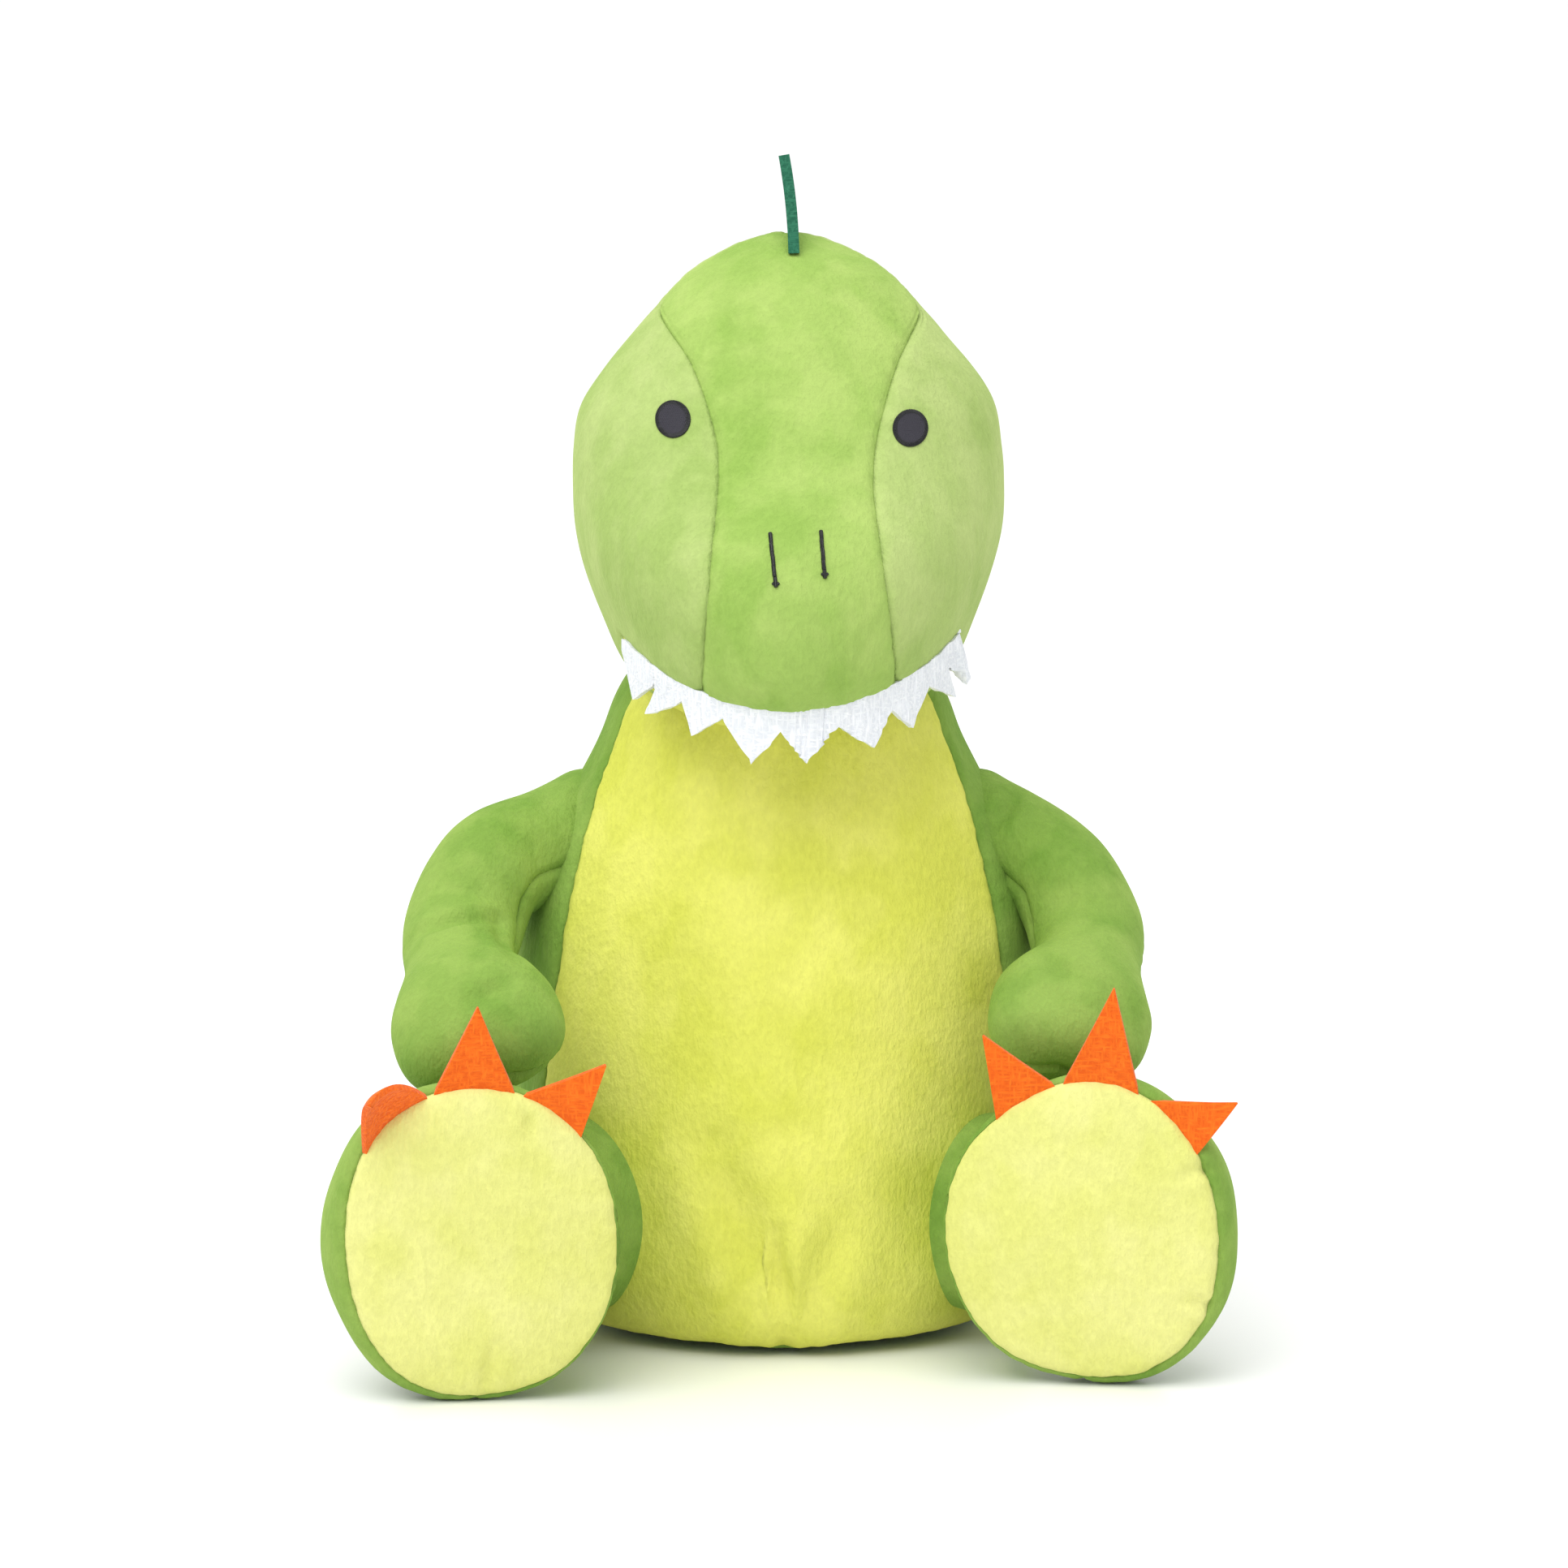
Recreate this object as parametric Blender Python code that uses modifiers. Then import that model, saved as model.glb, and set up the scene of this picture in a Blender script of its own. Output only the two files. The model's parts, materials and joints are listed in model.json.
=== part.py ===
"""A stuffed sitting dinosaur: plush skins over stuffing, felt trim and soft joints.

The toy faces -Y and sits on z = 0, with +X on its own left side.  Sizes are in metres.
"""
import math

import bmesh
import bpy
from mathutils import Matrix, Vector

# ---- Cloth, thread and clearances -------------------------------------------------
PILE_CLOTH = 0.0018          # plush cloth, backing and pile together
FELT = 0.0016                # one layer of craft felt
THREAD = 0.0006              # satin stitch standing on the cloth
SEAM_GAP = 0.0012            # between two panels along a seam
SEAT_GAP = 0.00035           # between a piece and what it is sewn to
STUFFING_GAP = 0.0009        # between the cloth and its filling
JOINT_CLEARANCE = 0.0007     # around a limb's ball in its socket
NECK_CLEARANCE = 0.0010      # between the neck dome and the head above it

# ---- Torso ------------------------------------------------------------------------
NECK_HEIGHT = 0.145          # centre of the round neck above the floor
NECK_RADIUS = 0.046
NECK_OPENING = 0.028         # radius of the hole at the top of the torso skin
HIP_HALF_WIDTH = 0.069
BELLY_REACH = 0.0595         # from the torso's axis forward
BACK_REACH = 0.055           # from the torso's axis backward
BELLY_SEAM = math.radians(72)    # side seams, measured round from the front
BODY_Y = -0.0240             # the torso's axis; the origin lies midway from soles to tail tip
DOME_SHARES = (0.985, 0.93, 0.84, 0.74)    # of the neck's radius, at the rings of its dome
DOME_CLOSING = (0.42, 0.2, 0.04)           # the same, over the hole at its top

# Height as a share of the neck's height, then width, front and back as shares of the widest.
TORSO_SHAPE = [
    (0.000, 0.64, 0.61, 0.65),
    (0.048, 0.84, 0.80, 0.83),
    (0.124, 0.945, 0.93, 0.94),
    (0.241, 1.000, 0.995, 1.00),
    (0.379, 1.000, 1.000, 1.00),
    (0.552, 0.945, 0.96, 0.965),
    (0.724, 0.870, 0.89, 0.91),
    (0.862, 0.800, 0.83, 0.87),
    (0.952, 0.735, 0.79, 0.845),
]

# ---- Neck plug --------------------------------------------------------------------
PLUG_RADIUS = 0.025
PLUG_BOTTOM = 0.0155         # above the neck's centre
PLUG_TOP = 0.052             # radius of its round top about the neck's centre
PLUG_POCKET = 0.0365         # radius of the pocket in the head, wide enough to nod

# ---- Head -------------------------------------------------------------------------
HEAD_BASE = 0.017            # underside above the neck's centre
HEAD_HEIGHT = 0.119
HEAD_HALF_WIDTH = 0.056
SNOUT_REACH = 0.0785
HEAD_BACK_REACH = 0.051
MOUTH_CORNER = (0.036, 0.034)    # forward of the neck's axis, above the neck's centre
LIP_SLOPE = 0.353            # how fast the lip drops towards the snout
CHIN_TUCK = 0.004            # the chin panel runs on behind the mouth's corners
CREST_START = 0.002          # where the gusset ends, behind the neck's axis
CROWN_SHARE = 0.25           # of the back's reach, for the ring that closes the crown
LIP_REACH = 0.97             # the snout's reach at the lip, as a share of its widest
CHIN_RUN = 0.06              # how far the chin reaches forward of the mouth's corners
CUT_FRONT = 0.12             # where the seams' cutters start, forward of the neck's axis
CUT_SIDE = 0.10              # how far they reach to each side
CUT_THROUGH = 0.30           # from the front of the head to clear behind it

# Height as a share of the head's height, then width, front and back as shares of the widest.
HEAD_SHAPE = [
    (0.000, 0.43, 0.61, 0.70),
    (0.042, 0.64, 0.84, 0.82),
    (0.109, 0.777, 0.955, 0.88),
    (0.185, 0.866, 1.000, 0.92),
    (0.269, 0.941, 1.000, 0.96),
    (0.361, 0.988, 0.943, 0.99),
    (0.454, 1.000, 0.815, 1.00),
    (0.538, 0.993, 0.688, 0.98),
    (0.630, 0.957, 0.586, 0.94),
    (0.714, 0.861, 0.497, 0.853),
    (0.790, 0.732, 0.420, 0.745),
    (0.857, 0.607, 0.331, 0.627),
    (0.924, 0.446, 0.204, 0.471),
    (0.975, 0.250, 0.064, 0.314),
    (1.000, 0.089, -0.025, 0.176),
]

# Gusset half width along the head's height, both as shares of the head's own.
GUSSET_SHAPE = [
    (-0.10, 0.45),
    (0.109, 0.45),
    (0.35, 0.40),
    (0.58, 0.364),
    (0.74, 0.47),
    (0.86, 0.62),
    (1.10, 0.75),
]

# ---- Face -------------------------------------------------------------------------
EYE_DIAMETER = 0.009
EYE_SPACING = 0.0296         # from the middle of the head
EYE_HEIGHT = 0.0915          # above the neck's centre
NOSTRIL_LENGTH = 0.012
NOSTRIL_WIDTH = 0.0012
NOSTRIL_SPACING = 0.0061
NOSTRIL_HEIGHT = 0.060
TOOTH_COUNT = 9
TOOTH_LENGTH = 0.0125        # the longest, at the middle
TOOTH_SIDE_SHARE = 0.8       # of the longest, at the mouth's corners
TOOTH_BAND = 0.0045          # plain felt above the points

# ---- Arms -------------------------------------------------------------------------
SHOULDER_HEIGHT = 0.127
SHOULDER_SINK = 0.0065       # shoulder centre inside the torso's side
SHOULDER_RADIUS = 0.0165
ARM_ROOT_RADIUS = 0.0118
ARM_RADIUS = 0.0158
WRIST_RADIUS = 0.0145
ELBOW_OUT = 0.0805           # from the middle of the toy
HAND_HALF_WIDTH = 0.0215
HAND_HALF_HEIGHT = 0.0150
HAND_CLEARANCE = 0.0032      # between the palm and the leg under it
HAND_SETBACK = 0.0300        # middle of the hand behind the sole
HAND_ROUND = 0.0100          # how far the mitten's end rounds over
HAND_TIP = 0.0080            # from the middle of the hand to where its end rounds over
HAND_TURN_IN = 0.0020        # how far the mitten's end points inward
HAND_TAPER = (0.001, 0.002)  # how much lower and narrower it is there
ROOT_SHIFT = (0.0120, -0.0015, 0.0)    # from the shoulder to the arm's narrow root
UPPER_SHARE = 0.60           # of the way from shoulder to elbow
UPPER_BOW = (0.0075, -0.005, 0.0085)   # how the upper arm bows out, forward and up there
UPPER_SLIM = 0.0014
ELBOW_FORWARD = 0.42         # of the way from shoulder to hand
ELBOW_RISE = 0.52            # of the height from hand to shoulder
WRIST_SHARE = 0.55           # of the way from elbow to hand
WRIST_BOW = (0.003, 0.0, 0.001)
ARM_PLANE = (0.21, -0.36, 0.91)        # way that the arm's top seam line faces

# ---- Legs -------------------------------------------------------------------------
HIP_HEIGHT = 0.034
HIP_AZIMUTH = math.radians(51)   # round from the front
HIP_RADIUS = 0.027
FOOT_SPREAD = 0.0735         # middle of each foot from the middle of the toy
FOOT_HALF_WIDTH = 0.0372
FOOT_HALF_HEIGHT = 0.0375
SOLE_TURN = math.radians(7)      # soles face a little towards each other
LEG_REACH = {"right": 0.098, "left": 0.082}    # sole forward of the torso's axis
SOLE_ROUND = 0.0065          # how far the foot's edge rounds over to its sole
SOLE_INSET = 0.45            # share of the cloth that the sole stays inside the edge
HEEL_RUN = 0.010             # from the heel to where the foot's edge starts
HEEL_SLIM = (0.0025, 0.0010)     # how much lower and narrower than the sole it is
KNEE = (0.40, 0.004)         # share of the way from hip to heel, and bow outward
SHIN = (0.72, 0.003)
KNEE_SWELL = 0.001
SHIN_SHARES = (0.55, 0.60)   # of the growth from hip to sole, in height and width
CLAW_BASE = 0.0200
CLAW_LENGTH = 0.0195
CLAW_CLOCK = 30.0            # degrees round the sole between neighbours
CLAW_LEAN = 50.0             # degrees the outer claws lean from upright
CLAW_TIP = 16.0              # degrees the middle claw tips forward, away from the hand
CLAW_SINK = 0.004            # how far a claw's base runs into the foot's seam

# ---- Tail and crest ---------------------------------------------------------------
TAIL_ROOT_HEIGHT = 0.0258
TAIL_ROOT_RADIUS = 0.025
TAIL_SINK = 0.006            # root centre inside the back
TAIL_LENGTH = 0.098
TAIL_TIP_RADIUS = 0.006
FLOOR_GAP = 0.0008           # under the tail, whose rings tip a little
TAIL_LIFT = 0.020            # how far the tip curls up from the floor
TAIL_WAIST = 0.86            # of the root's radius, where the tail leaves the back
TAIL_SHAPE = [(0.12, 1.0), (0.35, 0.82), (0.60, 0.58), (0.82, 0.38)]   # along, share of waist
TAIL_ROUND = 0.6             # of the tip's radius, how far its end rounds over
SPIKE_THICKNESS = 2 * FELT
SPIKE_BASE = 0.024
SPIKE_HEIGHT = 0.0200
SPIKE_SINK = 0.005           # how far a spike's base runs into the seam
TOP_SPIKE = (0.0055, 0.001)  # behind the neck's axis, below the crown
# Place, then degrees that the spike leans back or its size as a share of the first.
HEAD_SPIKES = [("spike_head_back", 0.80, 42.0), ("spike_head_nape", 0.50, 84.0)]
BACK_SPIKES = [("spike_back_1", 0.122, 78.0), ("spike_back_2", 0.093, 86.0)]
BACK_SPIKE_SIZE = 0.95
TAIL_SPIKES = [("spike_tail_1", 0.42, 0.75), ("spike_tail_2", 0.62, 0.6),
               ("spike_tail_3", 0.80, 0.45)]
TAIL_SPIKE_LEAN = 12.0

# ---- Filling ----------------------------------------------------------------------
POUCH_HALF_WIDTH = 0.032
POUCH_HALF_DEPTH = 0.023
POUCH_HALF_HEIGHT = 0.009
POUCH_CLEARANCE = 0.0008

RING_SIDES = 30              # a whole number of sides lies between the side seams
LIMB_SIDES = 16
BALL_SIDES = (20, 12)
POUCH_SIDES = (28, 12)
STITCH_SIDES = 24
QUARTER = math.pi / 2
SIDES = {"left": 1.0, "right": -1.0}
SKIN_INSET = PILE_CLOTH + STUFFING_GAP
ROOT_ANGLES = (15, 40, 68)   # degrees from the pole of a limb's ball to its rings
FOOT_ANGLES = (35, 68)       # degrees round the foot's edge, up to its sole
TIP_ANGLES = (35, 65, 84)    # degrees round the closed end of an arm or the tail
BARE_ROOT = 2                # rings of the ball that carry no cloth, inside the socket


def clear_scene():
    """Remove whatever the file opened with."""
    for existing in list(bpy.data.objects):
        bpy.data.objects.remove(existing, do_unlink=True)


def new_collection(name):
    """Make a collection inside the scene."""
    collection = bpy.data.collections.new(name)
    bpy.context.scene.collection.children.link(collection)
    return collection


clear_scene()
PARTS = new_collection("stuffed_dinosaur")
CUTTERS = new_collection("cutters")


def linear(red, green, blue):
    """Turn a display colour in 0-255 steps into a linear RGBA value."""
    channels = [((value / 255 + 0.055) / 1.055) ** 2.4 for value in (red, green, blue)]
    return (*channels, 1.0)


MID_GREEN = linear(150, 186, 84)
LIGHT_GREEN = linear(183, 206, 118)
LEG_GREEN = linear(141, 174, 80)
BELLY_YELLOW = linear(226, 228, 110)
SOLE_YELLOW = linear(233, 234, 140)
CLAW_ORANGE = linear(238, 122, 40)
TOOTH_WHITE = linear(236, 239, 242)
CREST_GREEN = linear(50, 110, 85)
THREAD_BLACK = linear(40, 40, 46)
FIBRE_WHITE = linear(240, 240, 236)
POUCH_GREY = linear(200, 200, 196)


def give_material(piece, colour, roughness):
    """Give a piece a material of its own."""
    material = bpy.data.materials.new(piece.name + "_material")
    material.use_nodes = True
    shader = material.node_tree.nodes["Principled BSDF"]
    shader.inputs["Base Color"].default_value = colour
    shader.inputs["Roughness"].default_value = roughness
    shader.inputs["Metallic"].default_value = 0.0
    piece.data.materials.append(material)


def link_object(name, mesh, collection):
    """Put a mesh in the scene under a name."""
    piece = bpy.data.objects.new(name, mesh)
    collection.objects.link(piece)
    return piece


def hide_cutter(cutter):
    """Show a cutter as wire only and leave it out of renders."""
    cutter.hide_render = True
    cutter.display_type = "WIRE"
    return cutter


# ---- Joints: an empty for each moving body ------------------------------------------
def joint_empty(name, location, parent=None):
    """Add the empty that a moving body hangs on."""
    empty = bpy.data.objects.new(name, None)
    empty.empty_display_size = 0.01
    empty.location = Vector(location)
    PARTS.objects.link(empty)
    if parent is not None:
        empty.location = Vector(location) - parent.matrix_world.translation
        empty.parent = parent
    bpy.context.view_layer.update()
    return empty


def hang(piece, empty):
    """Parent a piece to its body's empty and keep its place."""
    piece.parent = empty
    piece.matrix_parent_inverse = empty.matrix_world.inverted()


# ---- Sections: a ring is a centre and three arms, for an oval with unlike halves -----
def ring_point(ring, angle):
    """Point of a ring; angle 0 is along its first arm, 90 degrees along its side arm."""
    centre, side, near, far = ring
    reach = near if math.cos(angle) > 0 else far
    return centre + side * math.sin(angle) + reach * math.cos(angle)


def blend_rings(first, second, share):
    """Ring part of the way from one ring to another."""
    return tuple(a.lerp(b, share) for a, b in zip(first, second))


def patch_mesh(name, rings, start, stop, sides):
    """Open surface over the rings, from one angle to another, on the filling's own grid."""
    mesh = bpy.data.meshes.new(name)
    shape = bmesh.new()
    pitch = math.tau / sides
    columns = round((stop - start) / pitch)
    grid = []
    for ring in rings:
        margin = SEAM_GAP / 2 / min(ring[1].length, ring[2].length)
        angles = [start + pitch * step for step in range(columns + 1)]
        angles[0] += margin
        angles[-1] -= margin
        grid.append([shape.verts.new(ring_point(ring, angle)) for angle in angles])
    for lower, upper in zip(grid, grid[1:]):
        for column in range(columns):
            corners = (lower[column], lower[column + 1], upper[column + 1], upper[column])
            shape.faces.new(corners)
    shape.to_mesh(mesh)
    shape.free()
    return mesh


def closed_mesh(name, rings, sides):
    """Closed solid over the rings, with a flat face at each end."""
    mesh = bpy.data.meshes.new(name)
    shape = bmesh.new()
    grid = []
    for ring in rings:
        angles = [math.tau * step / sides for step in range(sides)]
        grid.append([shape.verts.new(ring_point(ring, angle)) for angle in angles])
    for lower, upper in zip(grid, grid[1:]):
        for column in range(sides):
            after = (column + 1) % sides
            shape.faces.new((lower[column], lower[after], upper[after], upper[column]))
    shape.faces.new(list(reversed(grid[0])))
    shape.faces.new(grid[-1])
    shape.to_mesh(mesh)
    shape.free()
    return mesh


def outline_mesh(name, points):
    """Flat face with the given outline."""
    mesh = bpy.data.meshes.new(name)
    mesh.from_pydata([tuple(point) for point in points], [], [tuple(range(len(points)))])
    return mesh


# ---- Modifiers ------------------------------------------------------------------------
def thicken(piece, thickness, offset):
    """Give an open surface its thickness; -1 puts all of it behind the surface."""
    wall = piece.modifiers.new("thickness", "SOLIDIFY")
    wall.thickness = thickness
    wall.offset = offset


def swell(piece, distance):
    """Move a closed surface outward, or inward where the distance is negative."""
    push = piece.modifiers.new("swell", "DISPLACE")
    push.strength = distance
    push.mid_level = 0.0


def cut(piece, cutter, operation="DIFFERENCE"):
    """Cut a piece with a cutter, or keep only what lies inside it."""
    boolean = piece.modifiers.new("cut", "BOOLEAN")
    boolean.operation = operation
    boolean.object = cutter
    boolean.solver = "EXACT"


def skin(name, rings, start, stop, sides, colour, empty=None):
    """Panel of plush cloth over part of a form, short of its seams by half a gap."""
    mesh = patch_mesh(name, rings, start, stop, sides)
    piece = link_object(name, mesh, PARTS)
    thicken(piece, PILE_CLOTH, -1.0)
    give_material(piece, colour, 0.9)
    mesh.shade_smooth()
    if empty is not None:
        hang(piece, empty)
    return piece


def filling(name, rings, sides, colour=FIBRE_WHITE, empty=None):
    """Stuffing inside a form, one cloth and one gap smaller all round."""
    mesh = closed_mesh(name, rings, sides)
    piece = link_object(name, mesh, PARTS)
    swell(piece, -SKIN_INSET)
    give_material(piece, colour, 1.0)
    mesh.shade_smooth()
    if empty is not None:
        hang(piece, empty)
    return piece


def felt(name, points, thickness, colour, empty=None):
    """Flat piece of felt with its outline in its middle plane."""
    piece = link_object(name, outline_mesh(name, points), PARTS)
    thicken(piece, thickness, 0.0)
    give_material(piece, colour, 0.95)
    if empty is not None:
        hang(piece, empty)
    return piece


def ball_cutter(name, centre, radius):
    """Round cutter for a socket."""
    mesh = bpy.data.meshes.new(name)
    shape = bmesh.new()
    bmesh.ops.create_uvsphere(shape, u_segments=BALL_SIDES[0], v_segments=BALL_SIDES[1],
                              radius=radius,
                              matrix=Matrix.Translation(centre))
    shape.to_mesh(mesh)
    shape.free()
    return hide_cutter(link_object(name, mesh, CUTTERS))


def prism_cutter(name, points, direction):
    """Cutter with a flat outline pushed along a direction."""
    mesh = bpy.data.meshes.new(name)
    shape = bmesh.new()
    face = shape.faces.new([shape.verts.new(point) for point in points])
    grown = bmesh.ops.extrude_face_region(shape, geom=[face])
    moved = [item for item in grown["geom"] if isinstance(item, bmesh.types.BMVert)]
    bmesh.ops.translate(shape, verts=moved, vec=direction)
    bmesh.ops.recalc_face_normals(shape, faces=shape.faces)
    shape.to_mesh(mesh)
    shape.free()
    return hide_cutter(link_object(name, mesh, CUTTERS))


def form_cutter(name, rings, sides, distance):
    """Closed form of a stuffed body, grown a little, that trims what is sewn on to it."""
    cutter = link_object(name, closed_mesh(name, rings, sides), CUTTERS)
    swell(cutter, distance)
    return hide_cutter(cutter)


def turned(name, profile, collection):
    """Solid of revolution about the neck's axis; the profile runs down its outer side."""
    mesh = bpy.data.meshes.new(name)
    edges = [(index, index + 1) for index in range(len(profile) - 1)]
    mesh.from_pydata([(radius, 0.0, height) for radius, height in profile], edges, [])
    piece = link_object(name, mesh, collection)
    piece.location = (0.0, BODY_Y, NECK_HEIGHT)
    screw = piece.modifiers.new("turn", "SCREW")
    screw.steps = 24
    screw.render_steps = 24
    screw.use_merge_vertices = True
    screw.merge_threshold = 0.00001
    screw.use_smooth_shade = True
    return piece


# ---- Torso ------------------------------------------------------------------------
def interpolate(table, position):
    """Values of a shape table at a position in its first column."""
    for low, high in zip(table, table[1:]):
        if position <= high[0]:
            share = (position - low[0]) / (high[0] - low[0])
            return [a + (b - a) * share for a, b in zip(low[1:], high[1:])]
    return list(table[-1][1:])


def oval(height, half_width, front, back):
    """Level ring of the torso or the head."""
    centre = Vector((0.0, BODY_Y, height))
    return (centre, Vector((half_width, 0, 0)), Vector((0, -front, 0)), Vector((0, -back, 0)))


def torso_ring(height):
    """Ring of the torso below its neck."""
    width, front, back = interpolate(TORSO_SHAPE, height / NECK_HEIGHT)
    return oval(height, HIP_HALF_WIDTH * width, BELLY_REACH * front, BACK_REACH * back)


def dome_ring(radius):
    """Ring of the round neck on the torso's top."""
    height = NECK_HEIGHT + math.sqrt(max(NECK_RADIUS ** 2 - radius ** 2, 0.0))
    return oval(height, radius, radius, radius)


TORSO_RINGS = [torso_ring(row[0] * NECK_HEIGHT) for row in TORSO_SHAPE]
TORSO_RINGS += [dome_ring(NECK_RADIUS * share) for share in DOME_SHARES]
TORSO_RINGS.append(dome_ring(NECK_OPENING))
TORSO_CLOSED = TORSO_RINGS + [dome_ring(NECK_RADIUS * share) for share in DOME_CLOSING]

NECK_CENTRE = Vector((0.0, BODY_Y, NECK_HEIGHT))
HIP_CENTRE = {}
SHOULDER_CENTRE = {}
for side_name, sign in SIDES.items():
    hip = ring_point(torso_ring(HIP_HEIGHT), HIP_AZIMUTH)
    HIP_CENTRE[side_name] = Vector((sign * hip.x, hip.y, HIP_HEIGHT))
    shoulder_out = torso_ring(SHOULDER_HEIGHT)[1].x - SHOULDER_SINK
    SHOULDER_CENTRE[side_name] = Vector((sign * shoulder_out, BODY_Y, SHOULDER_HEIGHT))
TAIL_CENTRE = ring_point(torso_ring(TAIL_ROOT_HEIGHT), math.pi)
TAIL_CENTRE.y -= TAIL_SINK

neck_empty = joint_empty("neck_turn_axis", NECK_CENTRE)
head_empty = joint_empty("head_nod_axis", NECK_CENTRE, neck_empty)
tail_empty = joint_empty("tail_wag_axis", TAIL_CENTRE)
arm_empty = {side: joint_empty(f"arm_{side}_axis", SHOULDER_CENTRE[side]) for side in SIDES}
leg_empty = {side: joint_empty(f"leg_{side}_axis", HIP_CENTRE[side]) for side in SIDES}


def make_torso():
    """Belly, back and seat panels, their filling and the pouch of pellets."""
    sockets = [ball_cutter("tail_socket", TAIL_CENTRE, TAIL_ROOT_RADIUS + JOINT_CLEARANCE)]
    for side in SIDES:
        sockets.append(ball_cutter(f"shoulder_socket_{side}", SHOULDER_CENTRE[side],
                                   SHOULDER_RADIUS + JOINT_CLEARANCE))
        sockets.append(ball_cutter(f"hip_socket_{side}", HIP_CENTRE[side],
                                   HIP_RADIUS + JOINT_CLEARANCE))
    stuffing = filling("torso_stuffing", TORSO_CLOSED, RING_SIDES)
    pieces = [stuffing]
    for name, start, stop, colour in (
            ("belly_panel", -BELLY_SEAM, BELLY_SEAM, BELLY_YELLOW),
            ("back_panel_left", BELLY_SEAM, math.pi, LEG_GREEN),
            ("back_panel_right", -math.pi, -BELLY_SEAM, LEG_GREEN)):
        pieces.append(skin(name, TORSO_RINGS, start, stop, RING_SIDES, colour))
    for piece in pieces:
        for socket in sockets:
            cut(piece, socket)

    inset = PILE_CLOTH + SEAM_GAP
    base = torso_ring(0.0)
    trimmed = (base[0], *(arm * (1 - inset / arm.length) for arm in base[1:]))
    outline = [ring_point(trimmed, math.tau * step / RING_SIDES) for step in range(RING_SIDES)]
    seat = link_object("seat_panel", outline_mesh("seat_panel", outline[::-1]), PARTS)
    thicken(seat, PILE_CLOTH, -1.0)
    give_material(seat, LEG_GREEN, 0.9)

    well_radius = PLUG_RADIUS + SEAT_GAP
    well_floor = PLUG_BOTTOM - SEAT_GAP
    top = NECK_RADIUS + PILE_CLOTH
    well = turned("neck_well", [(0, top), (well_radius, top), (well_radius, well_floor),
                                (0, well_floor)], CUTTERS)
    cut(stuffing, hide_cutter(well))
    make_pouch(stuffing)


def make_pouch(stuffing):
    """Flat bag of plastic pellets that keeps the toy sitting, in a recess of the filling."""
    floor = SKIN_INSET + SEAT_GAP
    middle = Vector((0.0, BODY_Y, floor + POUCH_HALF_HEIGHT))
    mesh = bpy.data.meshes.new("pellet_pouch")
    shape = bmesh.new()
    scale = Matrix.Diagonal((POUCH_HALF_WIDTH, POUCH_HALF_DEPTH, POUCH_HALF_HEIGHT, 1.0))
    bmesh.ops.create_uvsphere(shape, u_segments=POUCH_SIDES[0], v_segments=POUCH_SIDES[1],
                              radius=1.0,
                              matrix=Matrix.Translation(middle) @ scale)
    shape.to_mesh(mesh)
    shape.free()
    mesh.shade_smooth()
    pouch = link_object("pellet_pouch", mesh, PARTS)
    give_material(pouch, POUCH_GREY, 0.8)

    wide = POUCH_HALF_WIDTH + POUCH_CLEARANCE
    deep = POUCH_HALF_DEPTH + POUCH_CLEARANCE
    outline = []
    for step in range(POUCH_SIDES[0]):
        angle = math.tau * step / POUCH_SIDES[0]
        outline.append(Vector((wide * math.cos(angle),
                               BODY_Y + deep * math.sin(angle), -floor)))
    rise = Vector((0, 0, 2 * (floor + POUCH_HALF_HEIGHT) + POUCH_CLEARANCE))
    cut(stuffing, prism_cutter("pouch_recess", outline, rise))


def arc(radius, start, stop, steps):
    """Points of an arc about the neck's centre, as radius from the axis and height."""
    points = []
    for step in range(steps + 1):
        angle = start + (stop - start) * step / steps
        points.append((radius * math.sin(angle), radius * math.cos(angle)))
    return points


def make_neck():
    """Plug of stuffing that the head turns and nods on."""
    edge = math.asin(PLUG_RADIUS / PLUG_TOP)
    profile = arc(PLUG_TOP, 0.0, edge, 6) + [(PLUG_RADIUS, PLUG_BOTTOM), (0.0, PLUG_BOTTOM)]
    plug = turned("neck_stuffing", profile, PARTS)
    plug.parent = neck_empty
    plug.matrix_parent_inverse = neck_empty.matrix_world.inverted()
    give_material(plug, FIBRE_WHITE, 1.0)


# ---- Head ---------------------------------------------------------------------------
HEAD_BOTTOM = NECK_HEIGHT + HEAD_BASE


def head_ring(share):
    """Ring of the head at a share of its height."""
    width, front, back = interpolate(HEAD_SHAPE, share)
    height = HEAD_BOTTOM + HEAD_HEIGHT * share
    if front < 0:
        # Past the brow the whole ring lies behind the neck's axis.
        reach = HEAD_BACK_REACH * (back - front) * CROWN_SHARE
        centre = Vector((0.0, BODY_Y + reach, height))
        return (centre, Vector((HEAD_HALF_WIDTH * width, 0, 0)), Vector((0, -reach, 0)),
                Vector((0, -reach, 0)))
    return oval(height, HEAD_HALF_WIDTH * width, SNOUT_REACH * front, HEAD_BACK_REACH * back)


HEAD_RINGS = [head_ring(row[0]) for row in HEAD_SHAPE]


def gusset_outline(margin):
    """Gusset seen from the front, grown or shrunk by a margin."""
    right = []
    for share, width in GUSSET_SHAPE:
        across = HEAD_HALF_WIDTH * width + margin
        height = HEAD_BOTTOM + HEAD_HEIGHT * share
        right.append(Vector((across, BODY_Y - CUT_FRONT, height)))
    left = [Vector((-point.x, point.y, point.z)) for point in reversed(right)]
    return right + left


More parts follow.
